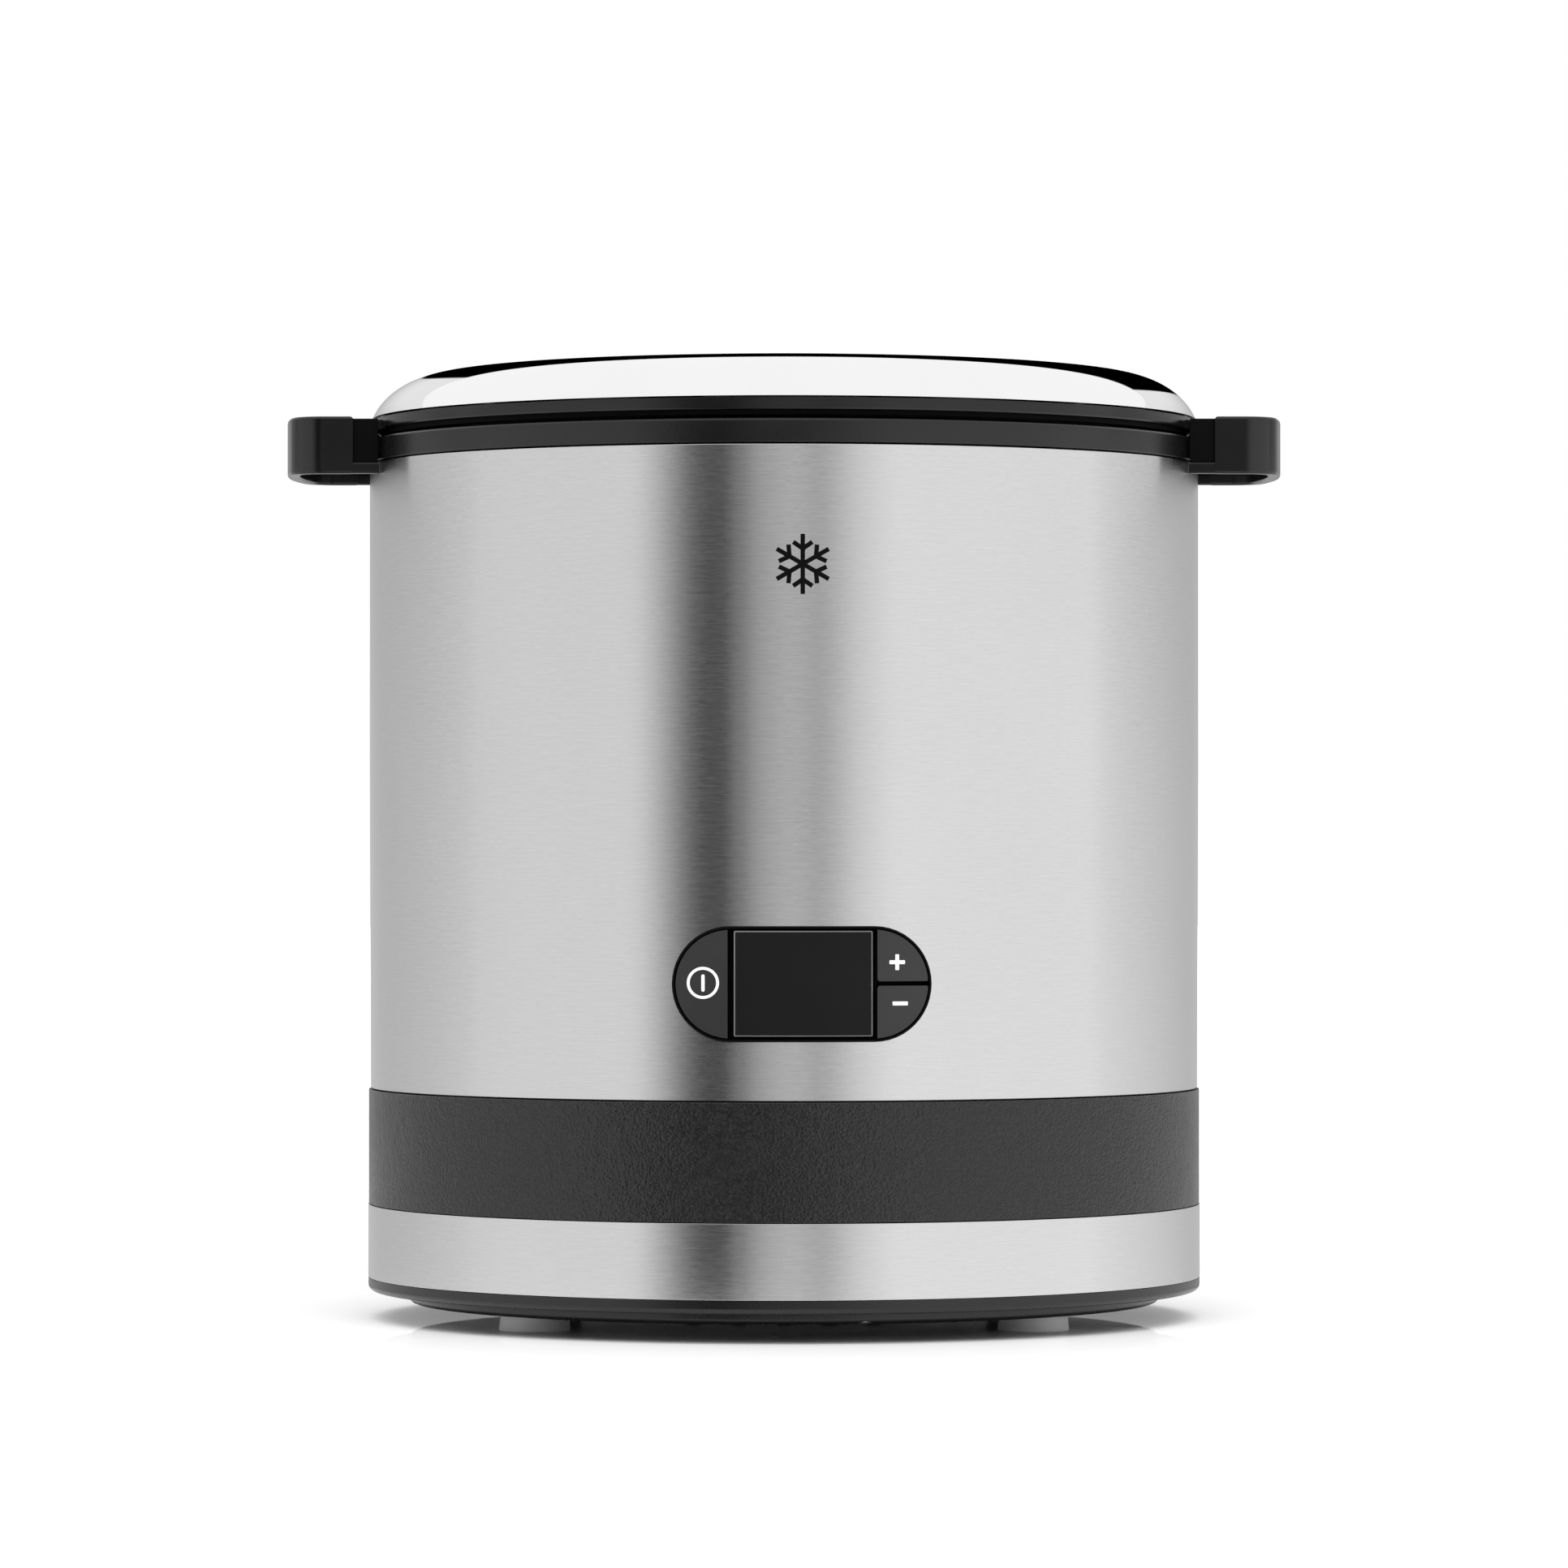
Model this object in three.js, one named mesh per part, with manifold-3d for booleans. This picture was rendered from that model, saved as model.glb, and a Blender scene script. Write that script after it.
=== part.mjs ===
// A compact countertop ice cream maker with a freezer bowl, modelled as an assembly of separate pieces.
// Millimetres, +Z up, front towards -Y, origin on the table under the middle of the body.
//
// A double-walled, gel-filled bowl turns on a spindle. A paddle hangs from the lid and stands still in it.
// The lid drops over the collar and locks by a short clockwise turn of its two ears. A small motor in the
// base drives the spindle through two spur gear stages.
import * as THREE from "three";
import { mergeVertices } from "three/addons/utils/BufferGeometryUtils.js";
import Module from "manifold-3d";

const wasm = await Module();
wasm.setup();

// ---------------------------------------------------------------- driving dimensions

const BODY_R = 72.5; // outer radius of the steel sleeve
const SLEEVE_FOOT_R = 72.3; // the sleeve draws in slightly at its lower edge
const SLEEVE_T = 0.7; // sheet thickness
const SEAM = 0.2; // gap left between two pieces that touch

const FLOOR_GAP = 2.8; // underside of the bottom plate above the table
const PLATE_TOP = 4.7;
const RING_Z0 = 7.3; // steel trim ring at the foot of the body
const RING_Z1 = 19.9;
const BAND_Z0 = 20.1; // grained plastic band above it
const BAND_Z1 = 39.9;
const SLEEVE_Z0 = 40.1;
const SLEEVE_Z1 = 148.8;
const COLLAR_Z0 = 149;
const COLLAR_Z1 = 153.4;
const LID_Z0 = 154.7; // lower edge of the lid's visible rim
const LID_Z1 = 157.2; // where the steel dome starts
const DOME_TOP = 167.2;

const OUTER_SEGMENTS = 48;
const INNER_SEGMENTS = 36;
const SMALL_SEGMENTS = 16;

const LUG_COUNT = 4; // bayonet lugs of the lid
const PANEL_TURN = THREE.MathUtils.degToRad(2.45); // the control panel sits just right of the middle
const PANEL_Z = 59.5; // height of the panel's middle

// ---------------------------------------------------------------- materials

const finish = (color, roughness, metalness) =>
  new THREE.MeshStandardMaterial({ color, roughness, metalness });
const brushedSteel = finish(0xb9b9b9, 0.35, 1);
const polishedSteel = finish(0xe6e6e6, 0.05, 1);
const blackPlastic = finish(0x262626, 0.42, 0);
const grainedPlastic = finish(0x333333, 0.6, 0);
const palePlastic = finish(0xe4e4e0, 0.5, 0);
const aluminium = finish(0xc9cacc, 0.3, 1);
const silicone = finish(0xb4b4b2, 0.7, 0);
const rubber = finish(0x9a9a98, 0.8, 0);
const darkRubber = finish(0x1c1c1c, 0.8, 0);
const displayGlass = finish(0x101010, 0.08, 0);
const gel = finish(0x6fa8c9, 0.3, 0);
const circuitBoard = finish(0x1f5a3a, 0.6, 0);
const steelPart = finish(0x8f9194, 0.35, 1);
const bronze = finish(0xb08a4a, 0.4, 1);
const gearPlastic = finish(0xefece0, 0.5, 0);

// ---------------------------------------------------------------- solids

function manifoldOf(geometry) {
  const bare = geometry.clone();
  for (const name of Object.keys(bare.attributes)) {
    if (name !== "position") bare.deleteAttribute(name);
  }
  const merged = mergeVertices(bare, 1e-4);
  return new wasm.Manifold(
    new wasm.Mesh({
      numProp: 3,
      vertProperties: merged.attributes.position.array,
      triVerts: new Uint32Array(merged.index.array),
    }),
  );
}

function geometryOf(solid) {
  const { vertProperties, triVerts } = solid.getMesh();
  const geometry = new THREE.BufferGeometry();
  geometry.setAttribute("position", new THREE.BufferAttribute(vertProperties, 3));
  geometry.setIndex(new THREE.BufferAttribute(triVerts, 1));
  return geometry;
}

const join = (...geometries) =>
  geometryOf(geometries.map(manifoldOf).reduce((sum, next) => sum.add(next)));
const cut = (geometry, ...tools) =>
  geometryOf(tools.map(manifoldOf).reduce((rest, tool) => rest.subtract(tool), manifoldOf(geometry)));
const clip = (a, b) => geometryOf(manifoldOf(a).intersect(manifoldOf(b)));

// A solid of revolution about Z from a closed profile of [radius, height] points.
function turned(profile, segments = OUTER_SEGMENTS) {
  const points = profile.map(([r, z]) => new THREE.Vector2(r, z));
  if (THREE.ShapeUtils.area(points) < 0) points.reverse();
  const openOnAxis = points[0].x === 0 && points[points.length - 1].x === 0;
  if (!openOnAxis) points.push(points[0].clone());
  return new THREE.LatheGeometry(points, segments).rotateX(Math.PI / 2);
}

const tube = (rIn, rOut, z0, z1, segments) =>
  turned([[rIn, z0], [rOut, z0], [rOut, z1], [rIn, z1]], segments);

const rod = (r, z0, z1, segments = SMALL_SEGMENTS) =>
  new THREE.CylinderGeometry(r, r, z1 - z0, segments)
    .rotateX(Math.PI / 2)
    .translate(0, 0, (z0 + z1) / 2);

const block = (x0, x1, y0, y1, z0, z1) =>
  new THREE.BoxGeometry(x1 - x0, y1 - y0, z1 - z0)
    .translate((x0 + x1) / 2, (y0 + y1) / 2, (z0 + z1) / 2);

// An outline in X and Y, pushed up from z0 to z1.
const plate = (shape, z0, z1) =>
  new THREE.ExtrudeGeometry(shape, { depth: z1 - z0, bevelEnabled: false, curveSegments: 6 })
    .translate(0, 0, z0);

// An outline in X and Z (as seen from the front), pushed from depth y0 to y1.
const frontPrism = (shape, y0, y1) =>
  new THREE.ExtrudeGeometry(shape, { depth: y1 - y0, bevelEnabled: false, curveSegments: 8 })
    .rotateX(Math.PI / 2)
    .translate(0, y1, 0);

// A ring sector centred on the direction `angle`, `spread` radians wide.
function sector(rIn, rOut, angle, spread, z0, z1, steps = 4) {
  const shape = new THREE.Shape();
  for (let i = 0; i <= steps; i++) {
    const a = angle - spread / 2 + (spread * i) / steps;
    if (i === 0) shape.moveTo(rOut * Math.cos(a), rOut * Math.sin(a));
    else shape.lineTo(rOut * Math.cos(a), rOut * Math.sin(a));
  }
  for (let i = steps; i >= 0; i--) {
    const a = angle - spread / 2 + (spread * i) / steps;
    shape.lineTo(rIn * Math.cos(a), rIn * Math.sin(a));
  }
  return plate(shape, z0, z1);
}

const around = (count, make) =>
  Array.from({ length: count }, (_, i) => make((i * 2 * Math.PI) / count));

const assembly = new THREE.Group();

function piece(name, geometry, material, parent = assembly) {
  const mesh = new THREE.Mesh(geometry, material);
  mesh.name = name;
  parent.add(mesh);
  return mesh;
}

// ---------------------------------------------------------------- outer housing

const PAN_R = 72.7;
const PAN_WALL_R = 71.8;
const PAN_HOLE_R = 59.5;

function basePan() {
  const pan = turned([
    [PAN_HOLE_R, 4.9], [70.4, 4.9], [71.8, 5.4], [PAN_R, 6.3], [PAN_R, RING_Z0 - SEAM],
    [PAN_WALL_R, RING_Z0 - SEAM], [PAN_WALL_R, 19.6], [70.6, 19.6], [70.6, 6.6], [PAN_HOLE_R, 6.6],
  ]);
  return cut(pan, ...baseScrewPlaces.map(([x, y]) => rod(1.8, 4, 9).translate(x, y, 0)));
}

const PLATE_R = 65.6;
const FOOT_X = 42.4;
const FOOT_Y = 36.5;
const FOOT_R = 6;
const FOOT_STEM_R = 2.2;
const BASE_SCREW_R = 62.3;
const BASE_SCREW_TURN = THREE.MathUtils.degToRad(12);
const baseScrewPlaces = around(4, (a) => {
  const turn = a + BASE_SCREW_TURN;
  return [BASE_SCREW_R * Math.cos(turn), BASE_SCREW_R * Math.sin(turn)];
});
const footPlaces = {
  foot_front_left: [-FOOT_X, -FOOT_Y],
  foot_front_right: [FOOT_X, -FOOT_Y],
  foot_rear_left: [-FOOT_X, FOOT_Y],
  foot_rear_right: [FOOT_X, FOOT_Y],
};

const VENT_COUNT = 5;
const VENT_PITCH = 8;

// The bottom plate carries the feet and the power board, with a row of vent slots under the motor.
function basePlate() {
  const disc = turned(
    [[0, FLOOR_GAP], [PLATE_R - 1.2, FLOOR_GAP], [PLATE_R, FLOOR_GAP + 1.2], [PLATE_R, PLATE_TOP], [0, PLATE_TOP]],
  );
  const posts = boardCorners.map(([x, y]) => rod(2.4, PLATE_TOP - 0.5, BOARD_Z - SEAM, 10).translate(x, y, 0));
  const stems = Object.values(footPlaces).map(([x, y]) => rod(FOOT_STEM_R + 0.5, 2, 6).translate(x, y, 0));
  const screwHoles = baseScrewPlaces.flatMap(([x, y]) => [
    rod(1.8, 2, 6).translate(x, y, 0),
    rod(3.2, 2, FLOOR_GAP + 1.3).translate(x, y, 0),
  ]);
  const vents = Array.from({ length: VENT_COUNT }, (_, i) => {
    const x = (i - (VENT_COUNT - 1) / 2) * VENT_PITCH;
    return block(x - 1.2, x + 1.2, 14, 44, 2, 6);
  });
  return cut(join(disc, ...posts), ...stems, ...screwHoles, ...vents);
}

function foot() {
  return turned([
    [0, 0], [FOOT_R + 0.15, 0], [FOOT_R, FLOOR_GAP - SEAM], [FOOT_STEM_R, FLOOR_GAP - SEAM],
    [FOOT_STEM_R, PLATE_TOP], [0, PLATE_TOP],
  ], SMALL_SEGMENTS);
}

function baseScrew() {
  return turned([
    [0, FLOOR_GAP + 0.1], [2.8, FLOOR_GAP + 0.1], [2.8, FLOOR_GAP + 1.1], [1.4, FLOOR_GAP + 1.1],
    [1.4, 15], [0, 15.8],
  ], 10);
}

const GLAND_Z = 28;
const GLAND_R = 5;

// The band has a spigot inside the sleeve, bosses for the base screws and a hole for the cord gland.
function baseBand() {
  const band = turned([
    [70.2, BAND_Z0], [72.65, BAND_Z0], [72.65, BAND_Z1], [71.2, BAND_Z1], [71.2, 46], [69.8, 46],
    [69.8, 38], [70.2, 37.4],
  ]);
  const bosses = baseScrewPlaces.map(([x, y]) => rod(3.6, 6.8, 26, 12).translate(x, y, 0));
  const webs = around(4, (a) => block(BASE_SCREW_R, 71, -1, 1, 20.3, 26).rotateZ(a + BASE_SCREW_TURN));
  const pilots = baseScrewPlaces.map(([x, y]) => rod(1.7, 6, 18, 10).translate(x, y, 0));
  const glandHole = rod(GLAND_R + 0.3, 60, 80).rotateX(-Math.PI / 2).translate(0, 0, GLAND_Z);
  return cut(join(band, ...bosses, ...webs), ...pilots, glandHole);
}

function cordGland() {
  const profile = [[3.4, 66.4], [7, 66.4], [7, 69.4], [GLAND_R, 69.4], [GLAND_R, 72.6], [3.4, 72.6]];
  return turned(profile, SMALL_SEGMENTS).rotateX(-Math.PI / 2).translate(0, 0, GLAND_Z);
}

// ---------------------------------------------------------------- control panel outlines

const PANEL_HALF_W = 21.55;
const PANEL_HALF_H = 9.6;
const WINDOW_HALF_W = 11.55;
const WINDOW_HALF_H = 8.75;
const WINDOW_X = 0.15; // the window stands a touch right of the panel's middle
const KEY_EDGE_X = 12.15; // where the keys start beside the window
const KEY_INSET = 0.6; // border left between a key and the panel's outline
const KEY_GAP = 0.35; // half the gap between the plus and minus keys
const PANEL_WALL = 0.35; // raised edge of the bezel

// A pill standing on the front of the body, grown by `grow` on every side.
function pillOutline(grow = 0) {
  const r = PANEL_HALF_H + grow;
  const straight = PANEL_HALF_W - PANEL_HALF_H;
  const shape = new THREE.Shape();
  shape.absarc(straight, 0, r, -Math.PI / 2, Math.PI / 2, false);
  shape.absarc(-straight, 0, r, Math.PI / 2, (3 * Math.PI) / 2, false);
  return shape;
}

// A key fills one rounded end of the pill, from height z0 to z1; side is -1 for left and 1 for right.
function keyOutline(side, z0, z1) {
  const r = PANEL_HALF_H - KEY_INSET;
  const centre = PANEL_HALF_W - PANEL_HALF_H;
  const edge = KEY_EDGE_X;
  const low = Math.max(z0, -r * 0.999);
  const high = Math.min(z1, r * 0.999);
  const from = Math.asin(Math.max(low / r, -1));
  const to = Math.asin(Math.min(high / r, 1));
  const shape = new THREE.Shape();
  const steps = 12;
  shape.moveTo(side * edge, low);
  for (let i = 0; i <= steps; i++) {
    const a = from + ((to - from) * i) / steps;
    shape.lineTo(side * Math.max(centre + r * Math.cos(a), edge + 0.05), r * Math.sin(a));
  }
  shape.lineTo(side * edge, high);
  return shape;
}

const box2 = (halfW, halfH) =>
  new THREE.Shape([
    new THREE.Vector2(-halfW, -halfH), new THREE.Vector2(halfW, -halfH),
    new THREE.Vector2(halfW, halfH), new THREE.Vector2(-halfW, halfH),
  ]);

// The part of a front outline that lies between two radii, so that it follows the body's curve.
const CURVE_SEGMENTS = 96;
const curved = (shape, rIn, rOut, x = 0) =>
  clip(frontPrism(shape, -80, -50).translate(x, 0, 0), tube(rIn, rOut, -15, 15, CURVE_SEGMENTS));

const keys = {
  power: { side: -1, z0: -PANEL_HALF_H, z1: PANEL_HALF_H, stem: [-16.2, 0] },
  plus: { side: 1, z0: KEY_GAP, z1: PANEL_HALF_H, stem: [16, 4.4] },
  minus: { side: 1, z0: -PANEL_HALF_H, z1: -KEY_GAP, stem: [16, -4.4] },
};

function bodyShell() {
  const sleeve = turned([
    [SLEEVE_FOOT_R - SLEEVE_T, SLEEVE_Z0], [SLEEVE_FOOT_R, SLEEVE_Z0], [BODY_R, 96],
    [BODY_R, SLEEVE_Z1], [BODY_R - SLEEVE_T, SLEEVE_Z1], [BODY_R - SLEEVE_T, 96],
  ]);
  const opening = frontPrism(pillOutline(0.2), -80, -60).translate(0, 0, PANEL_Z).rotateZ(PANEL_TURN);
  return cut(sleeve, opening);
}

const COLLAR_R = 72.3;
const LEDGE_R = 66; // bayonet ledge that the lid's lugs turn under
const LEDGE_Z0 = 152;
const LUG_SPREAD = THREE.MathUtils.degToRad(12);
const NOTCH_SPREAD = THREE.MathUtils.degToRad(16);

function topCollar() {
  const ring = turned([
    [68.6, COLLAR_Z0], [COLLAR_R, COLLAR_Z0], [COLLAR_R, COLLAR_Z1 - 0.5], [COLLAR_R - 0.5, COLLAR_Z1],
    [LEDGE_R, COLLAR_Z1], [LEDGE_R, LEDGE_Z0], [68.6, LEDGE_Z0],
  ]);
  const notches = around(LUG_COUNT, (a) => sector(64, 68.75, a, NOTCH_SPREAD, 151, 154));
  return cut(ring, ...notches);
}

// ---------------------------------------------------------------- bowl well

const WELL_R = 59; // inside
const WELL_T = 1.4;
const WELL_FLOOR = 46.8;

function bowlWell() {
  const out = WELL_R + WELL_T;
  const cup = turned([
    [8, 45], [out - 2, 45], [out, 47], [out, 147.2], [71.2, 147.2], [71.2, 148.7],
    [WELL_R, 148.7], [WELL_R, 48.4], [WELL_R - 1.6, WELL_FLOOR], [8, WELL_FLOOR],
  ], INNER_SEGMENTS);
  const pads = padPlaces.map(([x, y]) => rod(3, GEARBOX_Z1 + 2.4, 45.5, 12).translate(x, y, 0));
  return join(cup, ...pads);
}

// ---------------------------------------------------------------- freezer bowl

const BOWL_R = 56;
const LINER_R = 46;
const BOWL_Z0 = 50;
const LINER_FLOOR = 63.2;
const HUB_R = 15.6;
const HUB_TOP = 60.2;

function bowlOuter() {
  return turned([
    [HUB_R + 0.4, BOWL_Z0], [BOWL_R - 1.4, BOWL_Z0], [BOWL_R, BOWL_Z0 + 1.4], [BOWL_R, 144.2],
    [BOWL_R - 1.6, 144.2], [BOWL_R - 1.6, BOWL_Z0 + 2], [HUB_R + 0.4, BOWL_Z0 + 2],
  ], INNER_SEGMENTS);
}

// The aluminium liner has a rounded floor and a short pin that centres the paddle.
function bowlLiner() {
  return turned([
    [0, 62], [38, 62], [44.5, 64.5], [47, 71], [47, 144.2], [LINER_R, 144.2], [LINER_R, 71.4],
    [43.8, 65.4], [37.8, LINER_FLOOR], [2.6, LINER_FLOOR], [2.6, 66.6], [0, 66.8],
  ], INNER_SEGMENTS);
}

function bowlRim() {
  return turned([
    [45.6, 144.5], [57.2, 144.5], [57.2, 146.4], [56.4, 147.2], [46.4, 147.2], [45.6, 146.4],
  ], INNER_SEGMENTS);
}

function coolantGel() {
  return turned([
    [0, 60.6], [16.2, 60.6], [16.2, 54], [18.8, 54], [18.8, 52.4], [53.9, 52.4], [53.9, 143.6],
    [47.6, 143.6], [47.6, 70.8], [45, 64], [38.2, 61.6], [0, 61.6],
  ], INNER_SEGMENTS);
}

const COUPLING_R = 9.6; // across the corners of the hexagon

function bowlHub() {
  const body = turned([
    [0, 49.8], [HUB_R, 49.8], [HUB_R, 52.3], [18, 52.3], [18, 53.6], [HUB_R, 53.6], [HUB_R, HUB_TOP], [0, HUB_TOP],
  ], 24);
  return cut(body, rod(COUPLING_R + 0.5, 45, 57.4, 6));
}

// ---------------------------------------------------------------- drive

const SPINDLE_R = 3.9;
const GEAR_MODULE = 1;
const OUTPUT_TEETH = 40;
const SMALL_TEETH = 12;
const LARGE_TEETH = 40;
const PINION_TEETH = 10;
const MESH_CLEARANCE = 0.12; // added to each pair's centre distance

const pitchR = (teeth) => (teeth * GEAR_MODULE) / 2;
const lowDistance = pitchR(OUTPUT_TEETH) + pitchR(SMALL_TEETH) + MESH_CLEARANCE;
const highDistance = pitchR(LARGE_TEETH) + pitchR(PINION_TEETH) + MESH_CLEARANCE;
const towardsLay = THREE.MathUtils.degToRad(90); // from the spindle to the layshaft
const towardsMotor = THREE.MathUtils.degToRad(150); // from the layshaft to the motor
const layShaft = new THREE.Vector2(Math.cos(towardsLay), Math.sin(towardsLay)).multiplyScalar(lowDistance);
const motorShaft = new THREE.Vector2(Math.cos(towardsMotor), Math.sin(towardsMotor))
  .multiplyScalar(highDistance)
  .add(layShaft);

// A spur gear with one tooth centred on the direction `phase`.
function gearOutline(teeth, phase) {
  const r = pitchR(teeth);
  const tip = r + 0.85 * GEAR_MODULE;
  const root = r - 1.2 * GEAR_MODULE;
  const pitch = (2 * Math.PI) / teeth;
  const corners = [[root, -0.3], [tip, -0.11], [tip, 0.11], [root, 0.3]]; // radius, share of the pitch
  const shape = new THREE.Shape();
  for (let i = 0; i < teeth; i++) {
    for (const [radius, share] of corners) {
      const a = phase + (i + share) * pitch;
      const x = radius * Math.cos(a);
      const y = radius * Math.sin(a);
      if (i === 0 && radius === root && share < 0) shape.moveTo(x, y);
      else shape.lineTo(x, y);
    }
  }
  return shape;
}

function gear(teeth, phase, z0, z1, boreR) {
  return cut(plate(gearOutline(teeth, phase), z0, z1), rod(boreR, z0 - 1, z1 + 1, 12));
}

// Half a pitch off the tooth, so that a gap faces the mating gear's tooth.
const gapPhase = (teeth, direction) => direction + Math.PI + Math.PI / teeth;

const outputGear = () => gear(OUTPUT_TEETH, towardsLay, 36, 40.2, SPINDLE_R + 0.3);

const LAY_AXLE_R = 1.9;

function layGear() {
  const large = plate(gearOutline(LARGE_TEETH, towardsMotor), 32.2, 35.5);
  const small = plate(gearOutline(SMALL_TEETH, gapPhase(SMALL_TEETH, towardsLay)), 35.3, 40.2);
  return cut(join(large, small), rod(LAY_AXLE_R + 0.3, 30, 42, 12)).translate(layShaft.x, layShaft.y, 0);
}

const motorPinion = () =>
  gear(PINION_TEETH, gapPhase(PINION_TEETH, towardsMotor), 32.1, 35.8, 1.8)
    .translate(motorShaft.x, motorShaft.y, 0);

const driveSpindle = () => rod(SPINDLE_R, 32.6, 56.4, 20);

function driveCoupling() {
  const hexagon = rod(COUPLING_R, 48.2, 57, 6);
  return cut(hexagon, rod(SPINDLE_R + 0.3, 40, 56.6, 20));
}

// The gearbox outline covers the spindle, the layshaft and the motor pinion.
function gearboxOutline(wall) {
  const r = 24 - wall;
  const disc = (x, y, radius) => rod(radius, 0, 1, 24).translate(x, y, 0);
  return join(
    disc(0, 0, r),
    disc(layShaft.x, layShaft.y, r),
    block(-r, r, 0, layShaft.y, 0, 1),
    disc(motorShaft.x, motorShaft.y, 11 - wall),
  );
}

const padPlaces = [[-16, 6], [16, 6], [0, 44], [-22, 40]]; // where the cover meets the well's pads
const slab = (wall, z0, z1) => gearboxOutline(wall).scale(1, 1, z1 - z0).translate(0, 0, z0);
const GEARBOX_Z0 = 30;
const GEARBOX_Z1 = 41;

function gearboxCase() {
  const shell = cut(slab(0, GEARBOX_Z0, GEARBOX_Z1), slab(1.6, GEARBOX_Z0 + 1.6, GEARBOX_Z1 + 1));
  return cut(shell, rod(6.6, 28, 32, 16).translate(motorShaft.x, motorShaft.y, 0));
}

function gearboxCover() {
  return cut(slab(0, GEARBOX_Z1 + SEAM, GEARBOX_Z1 + 2.2), rod(6.9, 40, 45, 16));
}

const layAxle = () => rod(LAY_AXLE_R, 31.8, 41, 12).translate(layShaft.x, layShaft.y, 0);
const spindleBush = () => tube(SPINDLE_R + 0.4, 6.5, 41, 44.8, 20);
const shaftSeal = () => tube(SPINDLE_R + 0.5, 7.6, 45, 47.4, 20);
const glideRing = () => tube(40, 44, WELL_FLOOR + SEAM, BOWL_Z0 - 0.4, INNER_SEGMENTS);

const MOTOR_R = 18;

function motorCan() {
  const can = turned([
    [1.9, 10], [MOTOR_R, 10], [MOTOR_R, 28.4], [6, 28.4], [6, 29.8], [1.9, 29.8],
  ], 24);
  return can.translate(motorShaft.x, motorShaft.y, 0);
}

const motorAxle = () => rod(1.5, 9.2, 36.6, 12).translate(motorShaft.x, motorShaft.y, 0);

// ---------------------------------------------------------------- electronics

const BOARD_Z = 8.6;
const BOARD_T = 1.6;
const BOARD_X = 32;
const boardCorners = [[-28, -49], [28, -49], [-28, -21], [28, -21]];

const powerBoard = () => block(-BOARD_X, BOARD_X, -53, -17, BOARD_Z, BOARD_Z + BOARD_T);
const transformer = () => block(-31, -5, -48, -26, BOARD_Z + BOARD_T + SEAM, 28.4);
const capacitor = () => rod(6, BOARD_Z + BOARD_T + SEAM, 27.5).translate(12, -34, 0);

// A lead swept along a route, with a flat or a round section.
function lead(route, section, steps) {
  const path = new THREE.CatmullRomCurve3(route.map((p) => new THREE.Vector3(...p)));
  return new THREE.ExtrudeGeometry(section, { steps, bevelEnabled: false, extrudePath: path });
}

const panelHarness = () =>
  lead([[0, -64.4, 48.6], [0, -65, 40], [0, -64.4, 28], [0, -61.5, 17], [0, -56, 12]], box2(4.5, 0.7), 12);

function motorLead() {
  const round = new THREE.Shape();
  round.absarc(0, 0, 1.3, 0, 2 * Math.PI, false);
  const section = new THREE.Shape(round.getPoints(8).slice(0, -1));
  return lead([[-33, -22, 12.2], [-42, -8, 11.5], [-46, 10, 12], [-44, 24, 14], [-39.6, 33, 17]], section, 14);
}

// ---------------------------------------------------------------- control panel pieces

const BEZEL_R = 72.75;
const FLOOR_R = 70.3; // the recessed floor between the keys
const BEZEL_BACK_R = 69.3;
const STEM_R = 1.6;
const SCREEN_HALF_W = 10.8;
const SCREEN_HALF_H = 8;

// The bezel is a pill-shaped tray with a flange behind the sleeve and openings for the stems and screen.
function panelBezel() {
  const tray = join(
    curved(pillOutline(), BEZEL_BACK_R, BEZEL_R),
    curved(pillOutline(1.6), BEZEL_BACK_R, BODY_R - SLEEVE_T - 0.6),
  );
  const recess = curved(pillOutline(-PANEL_WALL), FLOOR_R, 80);
  const stems = Object.values(keys).map(({ stem: [x, z] }) =>
    rod(STEM_R + 0.4, -80, -50, 12).rotateX(-Math.PI / 2).translate(x, 0, z));
  const screen = frontPrism(box2(SCREEN_HALF_W + 0.25, SCREEN_HALF_H + 0.25), -80, -50).translate(WINDOW_X, 0, 0);
  return cut(tray, recess, ...stems, screen);
}

const displayWindow = () => curved(box2(WINDOW_HALF_W, WINDOW_HALF_H), 70.5, 72.6, WINDOW_X);
const displayModule = () =>
  block(-SCREEN_HALF_W, SCREEN_HALF_W, -69.2, -66.6, -SCREEN_HALF_H, SCREEN_HALF_H).translate(WINDOW_X, 0, 0);
const BOARD_BACK_Y = -63;
const BOARD_FRONT_Y = -64.6;
const SWITCH_TIP_Y = -66.7;
const KEY_STEM_Y = -67.5; // rest position of a key's stem, one travel away from its switch

const controlBoard = () => block(-19, 19, BOARD_FRONT_Y, BOARD_BACK_Y, -10.6, 11.4);

function panelKey({ side, z0, z1, stem }) {
  const cap = curved(keyOutline(side, z0, z1), 71, 72.6);
  const post = rod(STEM_R, -70.4, KEY_STEM_Y, 10).rotateX(-Math.PI / 2).translate(stem[0], 0, stem[1]);
  return join(cap, post);
}

function keySwitch({ stem }) {
  const [x, z] = stem;
  const body = block(x - 2.4, x + 2.4, -66, BOARD_FRONT_Y - SEAM, z - 2.4, z + 2.4);
  const plunger = rod(1.2, SWITCH_TIP_Y, -65.5, 10).rotateX(-Math.PI / 2).translate(x, 0, z);
  return join(body, plunger);
}

// ---------------------------------------------------------------- lid

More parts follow.
